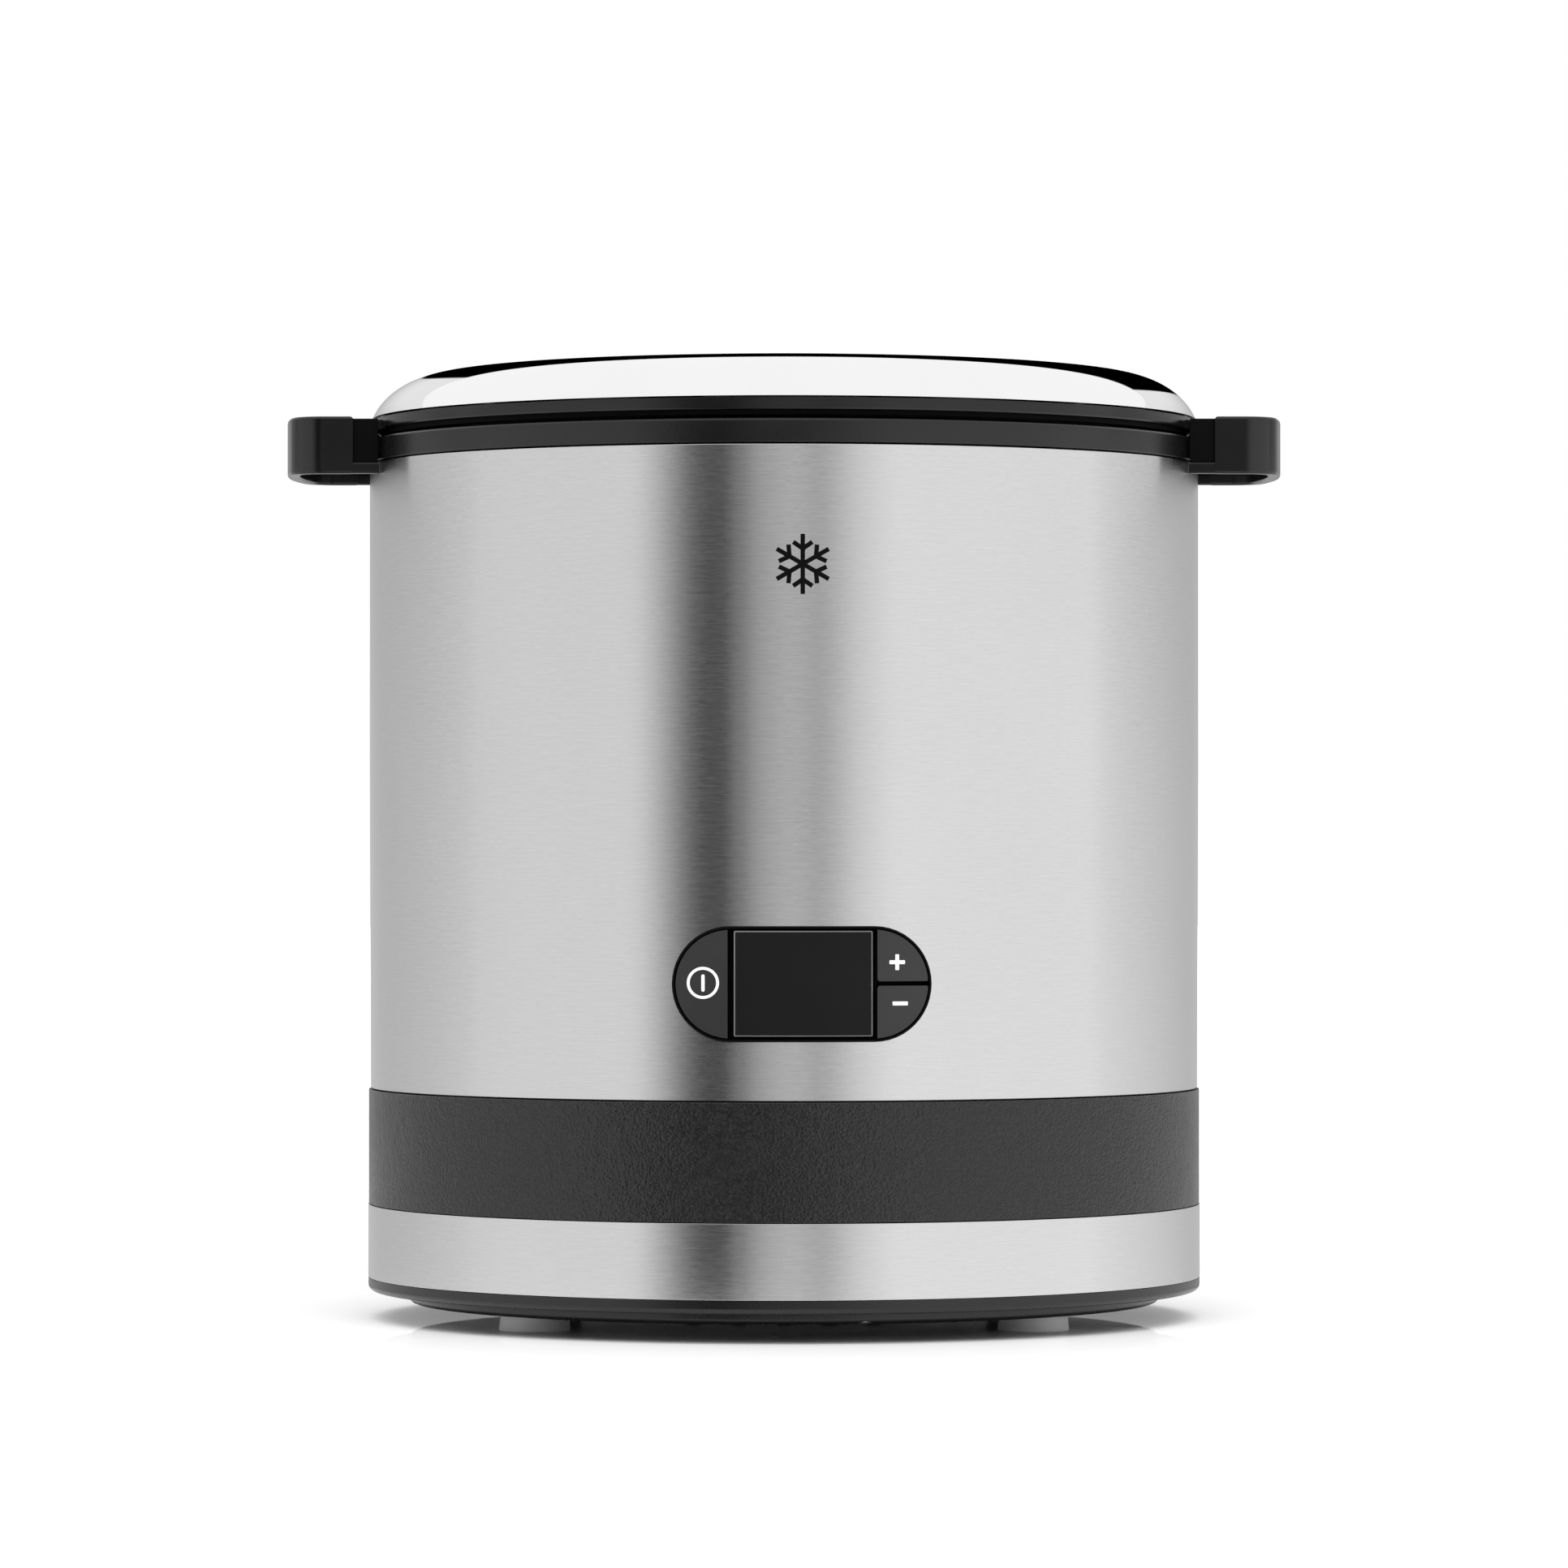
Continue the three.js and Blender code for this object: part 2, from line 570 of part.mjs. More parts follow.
const EAR_R = 87.2; // outer face of an ear, round the same axis as the body
const EAR_HALF_Y = 20.5;
const EAR_CORNER_R = 6;
const EAR_T = 2.2;
const EAR_Z0 = 146.4;
const EAR_Z1 = 156.1;
const EAR_FRONT_X = 74; // where the full-height front wall ends beside the body
const EAR_BACK_X = 75.8;
const EAR_TOE_X = 68.8; // how far its low strip runs on towards the body
const EAR_TOE_Z1 = 148.4;
const HEEL_R0 = 73; // inner wall of the loop, standing just outside the collar
const HEEL_R1 = 75;
const HEEL_SPREAD = THREE.MathUtils.degToRad(17);
const FLANGE_Z0 = 154;
const CHEEK_X0 = 70; // trimmed back to the collar below the flange
const CHEEK_X1 = 79;

// The ear's outline from the front wall round to the back wall, moved in by `inset`.
function earLine(side, inset, frontX, backX) {
  const cornerY = EAR_HALF_Y - EAR_CORNER_R;
  const cornerX = Math.sqrt((EAR_R - EAR_CORNER_R) ** 2 - cornerY ** 2);
  const tangent = Math.atan2(cornerY, cornerX);
  const y = EAR_HALF_Y - inset;
  const line = [[frontX, -y]];
  const corner = (from, to, sign) => {
    for (let i = 0; i <= 4; i++) {
      const a = from + ((to - from) * i) / 4;
      line.push([
        cornerX + (EAR_CORNER_R - inset) * Math.cos(a),
        sign * cornerY + (EAR_CORNER_R - inset) * Math.sin(a),
      ]);
    }
  };
  corner(-Math.PI / 2, -tangent, -1);
  for (let i = 1; i < 6; i++) {
    const a = -tangent + (2 * tangent * i) / 6;
    line.push([(EAR_R - inset) * Math.cos(a), (EAR_R - inset) * Math.sin(a)]);
  }
  corner(tangent, Math.PI / 2, 1);
  line.push([backX, y]);
  return line.map(([px, py]) => new THREE.Vector2(side * px, py));
}

function earBand(side, frontX, backX, z0, z1) {
  const outer = earLine(side, 0, frontX, backX);
  const inner = earLine(side, EAR_T, frontX, backX).reverse();
  return plate(new THREE.Shape([...outer, ...inner]), z0, z1);
}

// One ear: a loop for the fingers, tied to the rim by a flange over the collar. Upright cheeks close the
// space between the loop's wall ends and the collar.
function ear(side) {
  const facing = side > 0 ? 0 : Math.PI;
  const spread = 2 * Math.asin((EAR_HALF_Y - 0.4) / 76.4);
  const cheek = (y) => {
    const [x0, x1] = side > 0 ? [CHEEK_X0, CHEEK_X1] : [-CHEEK_X1, -CHEEK_X0];
    return block(x0, x1, y - 1, y + 1, EAR_TOE_Z1, EAR_Z1 - 0.1);
  };
  const loop = join(
    earBand(side, EAR_FRONT_X, EAR_BACK_X, EAR_Z0, EAR_Z1),
    earBand(side, EAR_TOE_X, EAR_TOE_X, EAR_Z0, EAR_TOE_Z1),
    sector(71.2, 76.4, facing, spread, FLANGE_Z0, EAR_Z1 - 0.1, 8),
    sector(HEEL_R0, HEEL_R1, facing, HEEL_SPREAD, EAR_TOE_Z1, EAR_Z1 - 0.4, 6),
    cheek(1.1 - EAR_HALF_Y),
    cheek(EAR_HALF_Y - 1.1),
  );
  return cut(loop, rod(BODY_R + 0.3, EAR_Z0 - 2, COLLAR_Z1 + 0.3, OUTER_SEGMENTS));
}

const RIM_R = 71.9;
const SKIRT_R = 65.5;

function lidRing() {
  const ring = turned([
    [63.8, 149.8], [SKIRT_R, 149.8], [SKIRT_R, COLLAR_Z1 + 0.3], [70.6, COLLAR_Z1 + 0.3],
    [70.6, LID_Z0], [RIM_R, LID_Z0], [RIM_R - 0.2, LID_Z1], [63.8, LID_Z1],
  ]);
  const lugs = around(LUG_COUNT, (a) => sector(64.5, 68.1, a, LUG_SPREAD, 149.9, 151.6));
  return join(ring, ear(1), ear(-1), ...lugs);
}

const DOME_T = 0.8;
const CROWN_R = 705; // radius of the shallow crown
const SHOULDER_R = 58.3; // where the crown turns into the shoulder
const SHOULDER_W = 14.5;
const SHOULDER_H = 11.3;
const FILLER_R = 15.5; // opening in the middle of the dome

const crownZ = (r) => DOME_TOP - CROWN_R + Math.sqrt(CROWN_R ** 2 - r ** 2);

// Outer line of the dome from the filler opening to the rim, as radius and height.
function domeLine() {
  const line = [FILLER_R, 37, SHOULDER_R].map((r) => [r, crownZ(r)]);
  const low = crownZ(SHOULDER_R) - SHOULDER_H;
  const end = Math.acos((LID_Z1 + SEAM - low) / SHOULDER_H);
  for (let i = 1; i <= 5; i++) {
    const a = (end * i) / 5;
    line.push([SHOULDER_R + SHOULDER_W * Math.sin(a), low + SHOULDER_H * Math.cos(a)]);
  }
  return line;
}

function lidDome() {
  const outer = domeLine();
  const [rimR, rimZ] = outer[outer.length - 1];
  const inner = [[FILLER_R, crownZ(FILLER_R) - DOME_T], [SHOULDER_R, crownZ(SHOULDER_R) - DOME_T],
    [65.5, 162.4], [69, 160], [rimR - DOME_T, rimZ]];
  return turned([...outer, ...inner.reverse()]);
}

// The lid's inner cover, with the filler throat. Two dogs on the throat hold the paddle's ring.
function lidLiner() {
  const cover = turned([
    [12.6, 147], [14.2, 147], [14.2, 152.6], [63.4, 152.6], [63.4, 154.4], [14.2, 154.4],
    [14.2, 165], [12.6, 165],
  ], INNER_SEGMENTS);
  return join(cover, ...lidDogs());
}

const DOG_SPREAD = THREE.MathUtils.degToRad(12);
const DOG_PLAY = THREE.MathUtils.degToRad(2);
const LID_TURN = THREE.MathUtils.degToRad(15); // from dropping the lid on to locked
const lidDogs = () => around(2, (a) => sector(13.6, 16, a, DOG_SPREAD, 148, 150.6));

const lidSeal = () => tube(60.4, 63.2, 149.1, 152.4, INNER_SEGMENTS);

function fillerCap() {
  const plug = turned([
    [0, 158], [12, 158], [12, 165.3], [15, 165.3], [15, DOME_TOP - 0.3], [11.8, DOME_TOP - 0.2],
    [10.5, 163.2], [0, 163.2],
  ], 24);
  return join(plug, block(-11.4, 11.4, -1.6, 1.6, 162.8, 166.8));
}

const PADDLE_REACH = 44.4;
const PADDLE_Z0 = 64.4;
const PADDLE_Z1 = 149.6;

// The paddle: two scraping blades, three crossbars and the ring that hangs on the filler throat.
function paddle() {
  const slotSpread = DOG_SPREAD + LID_TURN + 2 * DOG_PLAY;
  const slots = around(2, (a) => sector(14, 16.4, a - LID_TURN / 2, slotSpread, 147.4, 152));
  const ring = cut(tube(14.7, 17.6, 145.8, 151.6, 24), ...slots);
  const blade = (side) => {
    const shape = new THREE.Shape();
    shape.moveTo(side * 37.4, PADDLE_Z0);
    shape.lineTo(side * 40.6, 66.6);
    shape.lineTo(side * 43.4, 72.6);
    shape.lineTo(side * PADDLE_REACH, 74);
    shape.lineTo(side * PADDLE_REACH, PADDLE_Z1);
    shape.lineTo(side * 39.4, PADDLE_Z1);
    shape.lineTo(side * 37, 76);
    shape.lineTo(side * 33, 69.4);
    return frontPrism(shape, -1.5, 1.5);
  };
  const bar = (z0, z1, x0, x1) => block(x0, x1, -1.5, 1.5, z0, z1);
  const socket = tube(3, 6, PADDLE_Z0 - 0.4, 72, 12);
  return join(
    ring, blade(1), blade(-1), socket,
    bar(PADDLE_Z0, 69.4, 4, 37.6), bar(PADDLE_Z0, 69.4, -37.6, -4),
    bar(104, 108, -41, 41),
    bar(146, PADDLE_Z1, 16.4, 41), bar(146, PADDLE_Z1, -41, -16.4),
  );
}

// ---------------------------------------------------------------- assembly

piece("base_plate", basePlate(), blackPlastic);
piece("base_pan", basePan(), blackPlastic);
piece("base_ring", tube(72.05, 72.75, RING_Z0, RING_Z1), brushedSteel);
piece("base_band", baseBand(), grainedPlastic);
piece("cord_gland", cordGland(), darkRubber);
for (const [name, [x, y]] of Object.entries(footPlaces)) {
  piece(name, foot(), rubber).position.set(x, y, 0);
}
baseScrewPlaces.forEach(([x, y], i) => {
  piece(`base_screw_${i + 1}`, baseScrew(), steelPart).position.set(x, y, 0);
});

piece("body_shell", bodyShell(), brushedSteel);
piece("top_collar", topCollar(), blackPlastic);
piece("bowl_well", bowlWell(), blackPlastic);
piece("glide_ring", glideRing(), palePlastic);
piece("shaft_seal", shaftSeal(), darkRubber);

piece("gearbox_case", gearboxCase(), palePlastic);
piece("gearbox_cover", gearboxCover(), palePlastic);
piece("spindle_bush", spindleBush(), bronze);
piece("lay_axle", layAxle(), steelPart);
piece("motor_can", motorCan(), steelPart);
piece("power_board", powerBoard(), circuitBoard);
piece("transformer", transformer(), darkRubber);
piece("capacitor", capacitor(), aluminium);
piece("panel_harness", panelHarness(), silicone);
piece("motor_lead", motorLead(), darkRubber);

piece("motor_axle", motorAxle(), steelPart);
piece("motor_pinion", motorPinion(), gearPlastic);
piece("lay_gear", layGear(), gearPlastic);
piece("output_gear", outputGear(), gearPlastic);
piece("drive_spindle", driveSpindle(), steelPart);
piece("drive_coupling", driveCoupling(), gearPlastic);

piece("bowl_hub", bowlHub(), blackPlastic);
piece("bowl_outer", bowlOuter(), blackPlastic);
piece("bowl_liner", bowlLiner(), aluminium);
piece("coolant_gel", coolantGel(), gel);
piece("bowl_rim", bowlRim(), blackPlastic);

const panel = new THREE.Group();
panel.position.z = PANEL_Z;
panel.rotation.z = PANEL_TURN;
assembly.add(panel);
piece("panel_bezel", panelBezel(), blackPlastic, panel);
piece("display_window", displayWindow(), displayGlass, panel);
piece("display_module", displayModule(), silicone, panel);
piece("control_board", controlBoard(), circuitBoard, panel);
for (const [name, key] of Object.entries(keys)) {
  piece(`${name}_key`, panelKey(key), blackPlastic, panel);
  piece(`${name}_switch`, keySwitch(key), darkRubber, panel);
}

piece("lid_ring", lidRing(), blackPlastic);
piece("lid_dome", lidDome(), polishedSteel);
piece("lid_liner", lidLiner(), palePlastic);
piece("lid_seal", lidSeal(), silicone);
piece("paddle", paddle(), palePlastic);
piece("filler_cap", fillerCap(), blackPlastic);

export default assembly;
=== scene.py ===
"""A compact ice cream maker in brushed steel and black plastic, seen from the front in a white studio."""

import math

import bmesh
import bpy
from mathutils import Matrix, Vector

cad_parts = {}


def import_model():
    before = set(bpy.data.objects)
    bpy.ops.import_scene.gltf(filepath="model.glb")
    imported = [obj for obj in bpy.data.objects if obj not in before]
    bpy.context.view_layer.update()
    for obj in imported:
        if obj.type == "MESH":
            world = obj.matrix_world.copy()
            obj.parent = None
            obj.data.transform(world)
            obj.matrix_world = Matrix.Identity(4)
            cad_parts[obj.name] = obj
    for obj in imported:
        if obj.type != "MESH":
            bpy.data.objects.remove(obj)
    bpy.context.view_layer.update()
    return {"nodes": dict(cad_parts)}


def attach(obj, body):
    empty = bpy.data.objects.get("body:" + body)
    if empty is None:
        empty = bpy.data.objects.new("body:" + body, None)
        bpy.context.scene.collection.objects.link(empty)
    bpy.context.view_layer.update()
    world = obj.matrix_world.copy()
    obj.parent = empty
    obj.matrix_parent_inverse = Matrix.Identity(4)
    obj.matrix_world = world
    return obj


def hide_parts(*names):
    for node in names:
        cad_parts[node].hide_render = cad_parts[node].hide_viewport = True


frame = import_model()

MM = 0.001
PANEL_TURN = math.radians(2.45)  # the panel sits just right of the middle
PANEL_Z = 59.5
BODY_R = 72.5  # outside of the steel sleeve
BACK_TURN = Matrix.Rotation(-math.pi / 2, 4, "X")  # stands a piece made along Z on the back wall

# ---------------------------------------------------------------- mesh helpers


def mesh_object(name, verts, faces):
    """A mesh from points in millimetres, its faces turned outwards."""
    mesh = bpy.data.meshes.new(name)
    mesh.from_pydata([tuple(c * MM for c in v) for v in verts], [], faces)
    obj = bpy.data.objects.new(name, mesh)
    bpy.context.scene.collection.objects.link(obj)
    bm = bmesh.new()
    bm.from_mesh(mesh)
    bmesh.ops.remove_doubles(bm, verts=bm.verts, dist=1e-7)
    bmesh.ops.recalc_face_normals(bm, faces=bm.faces)
    bm.to_mesh(mesh)
    bm.free()
    return obj


def object_of(name, bm):
    mesh = bpy.data.meshes.new(name)
    bm.to_mesh(mesh)
    bm.free()
    mesh.transform(Matrix.Scale(MM, 4))
    obj = bpy.data.objects.new(name, mesh)
    bpy.context.scene.collection.objects.link(obj)
    return obj


def apply_modifiers(obj):
    graph = bpy.context.evaluated_depsgraph_get()
    mesh = bpy.data.meshes.new_from_object(obj.evaluated_get(graph))
    obj.modifiers.clear()
    obj.data = mesh


def combine(operation, obj, *tools):
    for tool in tools:
        modifier = obj.modifiers.new("combine", "BOOLEAN")
        modifier.operation = operation
        modifier.solver = "EXACT"
        modifier.object = tool
    apply_modifiers(obj)
    for tool in tools:
        bpy.data.objects.remove(tool)
    return obj


def cut(obj, *tools):
    return combine("DIFFERENCE", obj, *tools)


def moved(obj, x=0.0, y=0.0, z=0.0):
    obj.data.transform(Matrix.Translation((x * MM, y * MM, z * MM)))
    return obj


def smooth(obj, angle=38):
    """Smooth shading with the large faces keeping their own normals, sharp past the angle."""
    obj.data.shade_smooth()
    obj.data.set_sharp_from_angle(angle=math.radians(angle))
    modifier = obj.modifiers.new("normals", "WEIGHTED_NORMAL")
    modifier.keep_sharp = True
    modifier.weight = 90
    apply_modifiers(obj)
    return obj


def rounded(points, radius, steps=4):
    """A closed outline with its corners rounded. radius is one number, or one for each corner."""
    out = []
    count = len(points)
    for i, point in enumerate(points):
        r = radius[i] if isinstance(radius, (list, tuple)) else radius
        b = Vector(point)
        u = Vector(points[i - 1]) - b
        v = Vector(points[(i + 1) % count]) - b
        if r <= 0 or u.length < 1e-6 or v.length < 1e-6 or u.angle(v) > math.radians(175):
            out.append(tuple(b))
            continue
        half = u.angle(v) / 2
        reach = min(r / math.tan(half), 0.45 * u.length, 0.45 * v.length)
        u.normalize()
        v.normalize()
        centre = b + (u + v).normalized() * (reach / math.cos(half))
        start, end = b + u * reach - centre, b + v * reach - centre
        turn = math.atan2(start.x * end.y - start.y * end.x, start.dot(end))
        out += [tuple(centre + Matrix.Rotation(turn * k / steps, 2) @ start) for k in range(steps + 1)]
    return out


def lathe(name, profile, segments=160):
    """A solid of revolution about Z from a closed profile of (radius, height) in millimetres."""
    verts, rings = [], []
    for r, z in profile:
        if r < 1e-4:
            rings.append([len(verts)] * segments)
            verts.append((0, 0, z))
            continue
        rings.append(list(range(len(verts), len(verts) + segments)))
        for i in range(segments):
            a = 2 * math.pi * i / segments
            verts.append((r * math.sin(a), -r * math.cos(a), z))
    faces = []
    for k, ring in enumerate(rings):
        after = rings[(k + 1) % len(rings)]
        if ring[0] == ring[1] and after[0] == after[1]:
            continue
        for i in range(segments):
            j = (i + 1) % segments
            face = []
            for index in (ring[i], ring[j], after[j], after[i]):
                if index not in face:
                    face.append(index)
            faces.append(face)
    return mesh_object(name, verts, faces)


def push_face(bm, face, push):
    """Pushes a face along a vector, which leaves a closed solid behind it."""
    grown = bmesh.ops.extrude_face_region(bm, geom=[face])["geom"]
    bmesh.ops.translate(bm, vec=push, verts=[g for g in grown if isinstance(g, bmesh.types.BMVert)])
    bmesh.ops.recalc_face_normals(bm, faces=bm.faces)


def prism(name, outline, low, high, bevel=0.0, axis="Z", bevel_segments=3):
    """An outline pushed along Z, or along Y where the outline lies in X and Z, its rims bevelled."""
    bm = bmesh.new()
    point = (lambda a, b, c: (a, b, c)) if axis == "Z" else (lambda a, b, c: (a, c, b))
    face = bm.faces.new([bm.verts.new(point(a, b, low)) for a, b in outline])
    push_face(bm, face, Vector(point(0, 0, high - low)))
    if bevel:
        index = 2 if axis == "Z" else 1
        ends = [e for e in bm.edges if abs(e.verts[0].co[index] - e.verts[1].co[index]) < 1e-6]
        bmesh.ops.bevel(bm, geom=ends, offset=bevel, segments=bevel_segments, profile=0.5, affect="EDGES",
                        clamp_overlap=True)
    return object_of(name, bm)


def box_outline(x0, x1, z0, z1):
    return [(x0, z0), (x1, z0), (x1, z1), (x0, z1)]


def arc(cx, cy, r, start, end, steps):
    """Points on an arc, its angles in degrees."""
    angles = [math.radians(start + (end - start) * i / steps) for i in range(steps + 1)]
    return [(cx + r * math.cos(a), cy + r * math.sin(a)) for a in angles]


# ---------------------------------------------------------------- materials


class Nodes:
    """A short way to build a procedural material."""

    def __init__(self, name):
        self.material = bpy.data.materials.new(name)
        self.material.use_nodes = True
        self.tree = self.material.node_tree
        self.shader = self.tree.nodes["Principled BSDF"]
        self.coords = self.tree.nodes.new("ShaderNodeTexCoord").outputs["Object"]

    def node(self, kind, **inputs):
        made = self.tree.nodes.new(kind)
        for label, value in inputs.items():
            self.put(made.inputs[label.replace("_", " ")], value)
        return made

    def put(self, socket, value):
        if isinstance(value, bpy.types.NodeSocket):
            self.tree.links.new(value, socket)
        else:
            socket.default_value = value

    def math(self, operation, *values):
        made = self.tree.nodes.new("ShaderNodeMath")
        made.operation = operation
        for socket, value in zip(made.inputs, values):
            self.put(socket, value)
        return made.outputs[0]

    def noise(self, vector, scale, detail=3.0, roughness=0.55):
        return self.node("ShaderNodeTexNoise", Vector=vector, Scale=scale, Detail=detail,
                         Roughness=roughness).outputs["Fac"]

    def span(self, value, low, high, start=0.3, end=0.7):
        """Maps a noise value onto a range."""
        made = self.tree.nodes.new("ShaderNodeMapRange")
        for socket, v in zip(made.inputs, (value, start, end, low, high)):
            self.put(socket, v)
        return made.outputs[0]

    def mix(self, factor, a, b):
        made = self.tree.nodes.new("ShaderNodeMix")
        made.data_type = "RGBA"
        self.put(made.inputs["Factor"], factor)
        self.put(made.inputs[6], (*a, 1) if isinstance(a, tuple) else a)
        self.put(made.inputs[7], (*b, 1) if isinstance(b, tuple) else b)
        return made.outputs[2]

    def bump(self, height, distance, strength=1.0):
        made = self.node("ShaderNodeBump", Height=height, Distance=distance, Strength=strength)
        self.put(self.shader.inputs["Normal"], made.outputs[0])

    def around_axis(self, along, across):
        """Coordinates run round the Z axis: a metre of surface counts `along` round and `across` up."""
        x, y, z = self.node("ShaderNodeSeparateXYZ", Vector=self.coords).outputs
        angle = self.math("ARCTAN2", x, self.math("MULTIPLY", y, -1.0))
        return self.node("ShaderNodeCombineXYZ", X=self.math("MULTIPLY", angle, along * BODY_R * MM),
                         Y=self.math("MULTIPLY", z, across)).outputs[0]


def grey(value):
    return (value, value, value)


def brushed(name, tone, roughness, spread=0.05, anisotropy=0.8):
    """Sheet steel brushed round the body."""
    n = Nodes(name)
    fine = n.noise(n.around_axis(700, 7500), 1.0, 2.0)
    broad = n.noise(n.around_axis(180, 3000), 1.0, 3.0)
    cloud = n.noise(n.coords, 22, 3.0)
    streak = n.math("ADD", n.math("MULTIPLY", fine, 0.6), n.math("MULTIPLY", broad, 0.4))
    shade = n.math("ADD", n.math("MULTIPLY", streak, 0.8), n.math("MULTIPLY", cloud, 0.2))
    dull, bright = grey(tone - spread), grey(tone + spread)
    n.put(n.shader.inputs["Base Color"], n.mix(n.span(shade, 0.0, 1.0), dull, bright))
    n.put(n.shader.inputs["Roughness"], n.span(streak, roughness - 0.03, roughness + 0.03))
    n.bump(streak, 0.000004, 0.3)
    n.shader.inputs["Metallic"].default_value = 1.0
    n.shader.inputs["Anisotropic"].default_value = anisotropy
    n.shader.inputs["Anisotropic Rotation"].default_value = 0.25
    tangent = n.tree.nodes.new("ShaderNodeTangent")
    tangent.direction_type = "RADIAL"
    tangent.axis = "Z"
    n.put(n.shader.inputs["Tangent"], tangent.outputs[0])
    return n.material


def moulded(name, low, high, roughness, grain=0.00025, depth=0.000006, spread=0.05, metallic=0.0):
    """Moulded plastic, rubber or plain metal: a fine skin, cloudy colour and uneven gloss."""
    n = Nodes(name)
    cloud = n.noise(n.coords, 55, 4.0)
    skin = n.noise(n.coords, 1 / grain, 2.0)
    n.put(n.shader.inputs["Base Color"], n.mix(n.span(cloud, 0.0, 1.0), low, high))
    n.put(n.shader.inputs["Roughness"],
          n.span(n.math("ADD", n.math("MULTIPLY", cloud, 0.6), n.math("MULTIPLY", skin, 0.4)),
                 roughness - spread, roughness + spread))
    n.bump(skin, depth, 0.8)
    n.shader.inputs["Metallic"].default_value = metallic
    return n.material


def leather_grain(name, low, high, roughness):
    """Plastic with a fine moulded grain: low rounded bumps, close together and uneven in height."""
    n = Nodes(name)
    bumps = n.noise(n.coords, 2300, 1.5, 0.4)
    patches = n.noise(n.coords, 500, 1.0)
    height = n.math("MULTIPLY", bumps, n.span(patches, 0.75, 1.25))
    n.put(n.shader.inputs["Base Color"], n.mix(n.span(bumps, 0.0, 1.0, 0.4, 0.6), low, high))
    n.put(n.shader.inputs["Roughness"], n.span(n.noise(n.coords, 60), roughness - 0.04, roughness + 0.04))
    n.bump(height, 0.00018)
    return n.material


def circuit(name):
    """Green solder mask with copper tracks showing through."""
    n = Nodes(name)
    tracks = n.node("ShaderNodeTexBrick", Vector=n.coords, Scale=260, Mortar_Size=0.06)
    tracks.inputs["Color1"].default_value = (0.012, 0.09, 0.035, 1)
    tracks.inputs["Color2"].default_value = (0.014, 0.10, 0.04, 1)
    tracks.inputs["Mortar"].default_value = (0.04, 0.19, 0.07, 1)
    n.put(n.shader.inputs["Base Color"], tracks.outputs["Color"])
    n.put(n.shader.inputs["Roughness"], n.span(n.noise(n.coords, 400), 0.3, 0.45))
    n.bump(tracks.outputs["Fac"], 0.00003)
    return n.material


def polished(name, tone):
    """Mirror-polished sheet with the faint haze that handling leaves."""
    n = Nodes(name)
    haze = n.noise(n.coords, 45, 4.0)
    n.put(n.shader.inputs["Base Color"], n.mix(n.span(haze, 0.0, 1.0), grey(tone - 0.015), grey(tone + 0.01)))
    n.put(n.shader.inputs["Roughness"], n.span(haze, 0.015, 0.05))
    n.shader.inputs["Metallic"].default_value = 1.0
    return n.material


def spun(name, tone, roughness):
    """Aluminium spun on a lathe: rings round the axis on walls and floor alike."""
    n = Nodes(name)
    x, y, z = n.node("ShaderNodeSeparateXYZ", Vector=n.coords).outputs
    radius = n.math("SQRT", n.math("ADD", n.math("MULTIPLY", x, x), n.math("MULTIPLY", y, y)))
    rings = n.noise(n.node("ShaderNodeCombineXYZ", X=n.math("MULTIPLY", radius, 2600.0),
                           Y=n.math("MULTIPLY", z, 2600.0)).outputs[0], 1.0, 2.0)
    n.put(n.shader.inputs["Base Color"], n.mix(n.span(rings, 0.0, 1.0), grey(tone - 0.04), grey(tone + 0.03)))
    n.put(n.shader.inputs["Roughness"], n.span(rings, roughness - 0.06, roughness + 0.06))
    n.bump(rings, 0.00002, 0.5)
    n.shader.inputs["Metallic"].default_value = 1.0
    return n.material


steel = brushed("brushed_steel", 0.695, 0.24, 0.05, 0.97)
dome_steel = polished("polished_steel", 0.93)
black = moulded("black_plastic", grey(0.004), grey(0.006), 0.26, depth=0.000012)
lid_black = moulded("lid_plastic", grey(0.004), grey(0.006), 0.20, depth=0.000002)
grained = leather_grain("grained_plastic", grey(0.006), grey(0.012), 0.24)
key_black = moulded("key_plastic", grey(0.018), grey(0.023), 0.42, grain=0.0002, depth=0.000008)
# painted shade: a near-black with little gloss, standing in for the shade in the panel tray, the groove under
# the lid's rim and the ears' cheeks
painted_shade_black = moulded("painted_shade_plastic", grey(0.001), grey(0.002), 0.7)
glass = moulded("display_glass", grey(0.009), grey(0.010), 0.34, depth=0.0, spread=0.03)
# painted highlight: a lighter grey for the display cover's bevelled rim
glass_painted_highlight = moulded("display_edge_painted_highlight", grey(0.17), grey(0.21), 0.25, spread=0.04)
# pale grey rubber, made lighter still as painted light for the floor's bounce light on the shaded feet
foot_grey_and_painted_light = moulded("foot_rubber", grey(0.74), grey(0.82), 0.45, depth=0.00001)
dark_rubber = moulded("dark_rubber", grey(0.010), grey(0.018), 0.62, depth=0.00001)
pale = moulded("pale_plastic", (0.70, 0.70, 0.66), (0.76, 0.76, 0.72), 0.36)
gear_white = moulded("gear_plastic", (0.76, 0.73, 0.62), (0.84, 0.81, 0.70), 0.42)
soft_silicone = moulded("silicone", (0.50, 0.50, 0.49), (0.58, 0.58, 0.57), 0.55, depth=0.00001)
liner_metal = spun("spun_aluminium", 0.74, 0.30)
plain_steel = moulded("plain_steel", grey(0.42), grey(0.52), 0.34, depth=0.000008, metallic=1.0)
iron = moulded("laminated_iron", grey(0.05), grey(0.08), 0.5, depth=0.00002, metallic=0.6)
bronze = moulded("bronze", (0.42, 0.25, 0.09), (0.52, 0.31, 0.12), 0.4, metallic=1.0)
gel = moulded("coolant_gel", (0.10, 0.30, 0.48), (0.16, 0.40, 0.58), 0.2)
board = circuit("circuit_board")
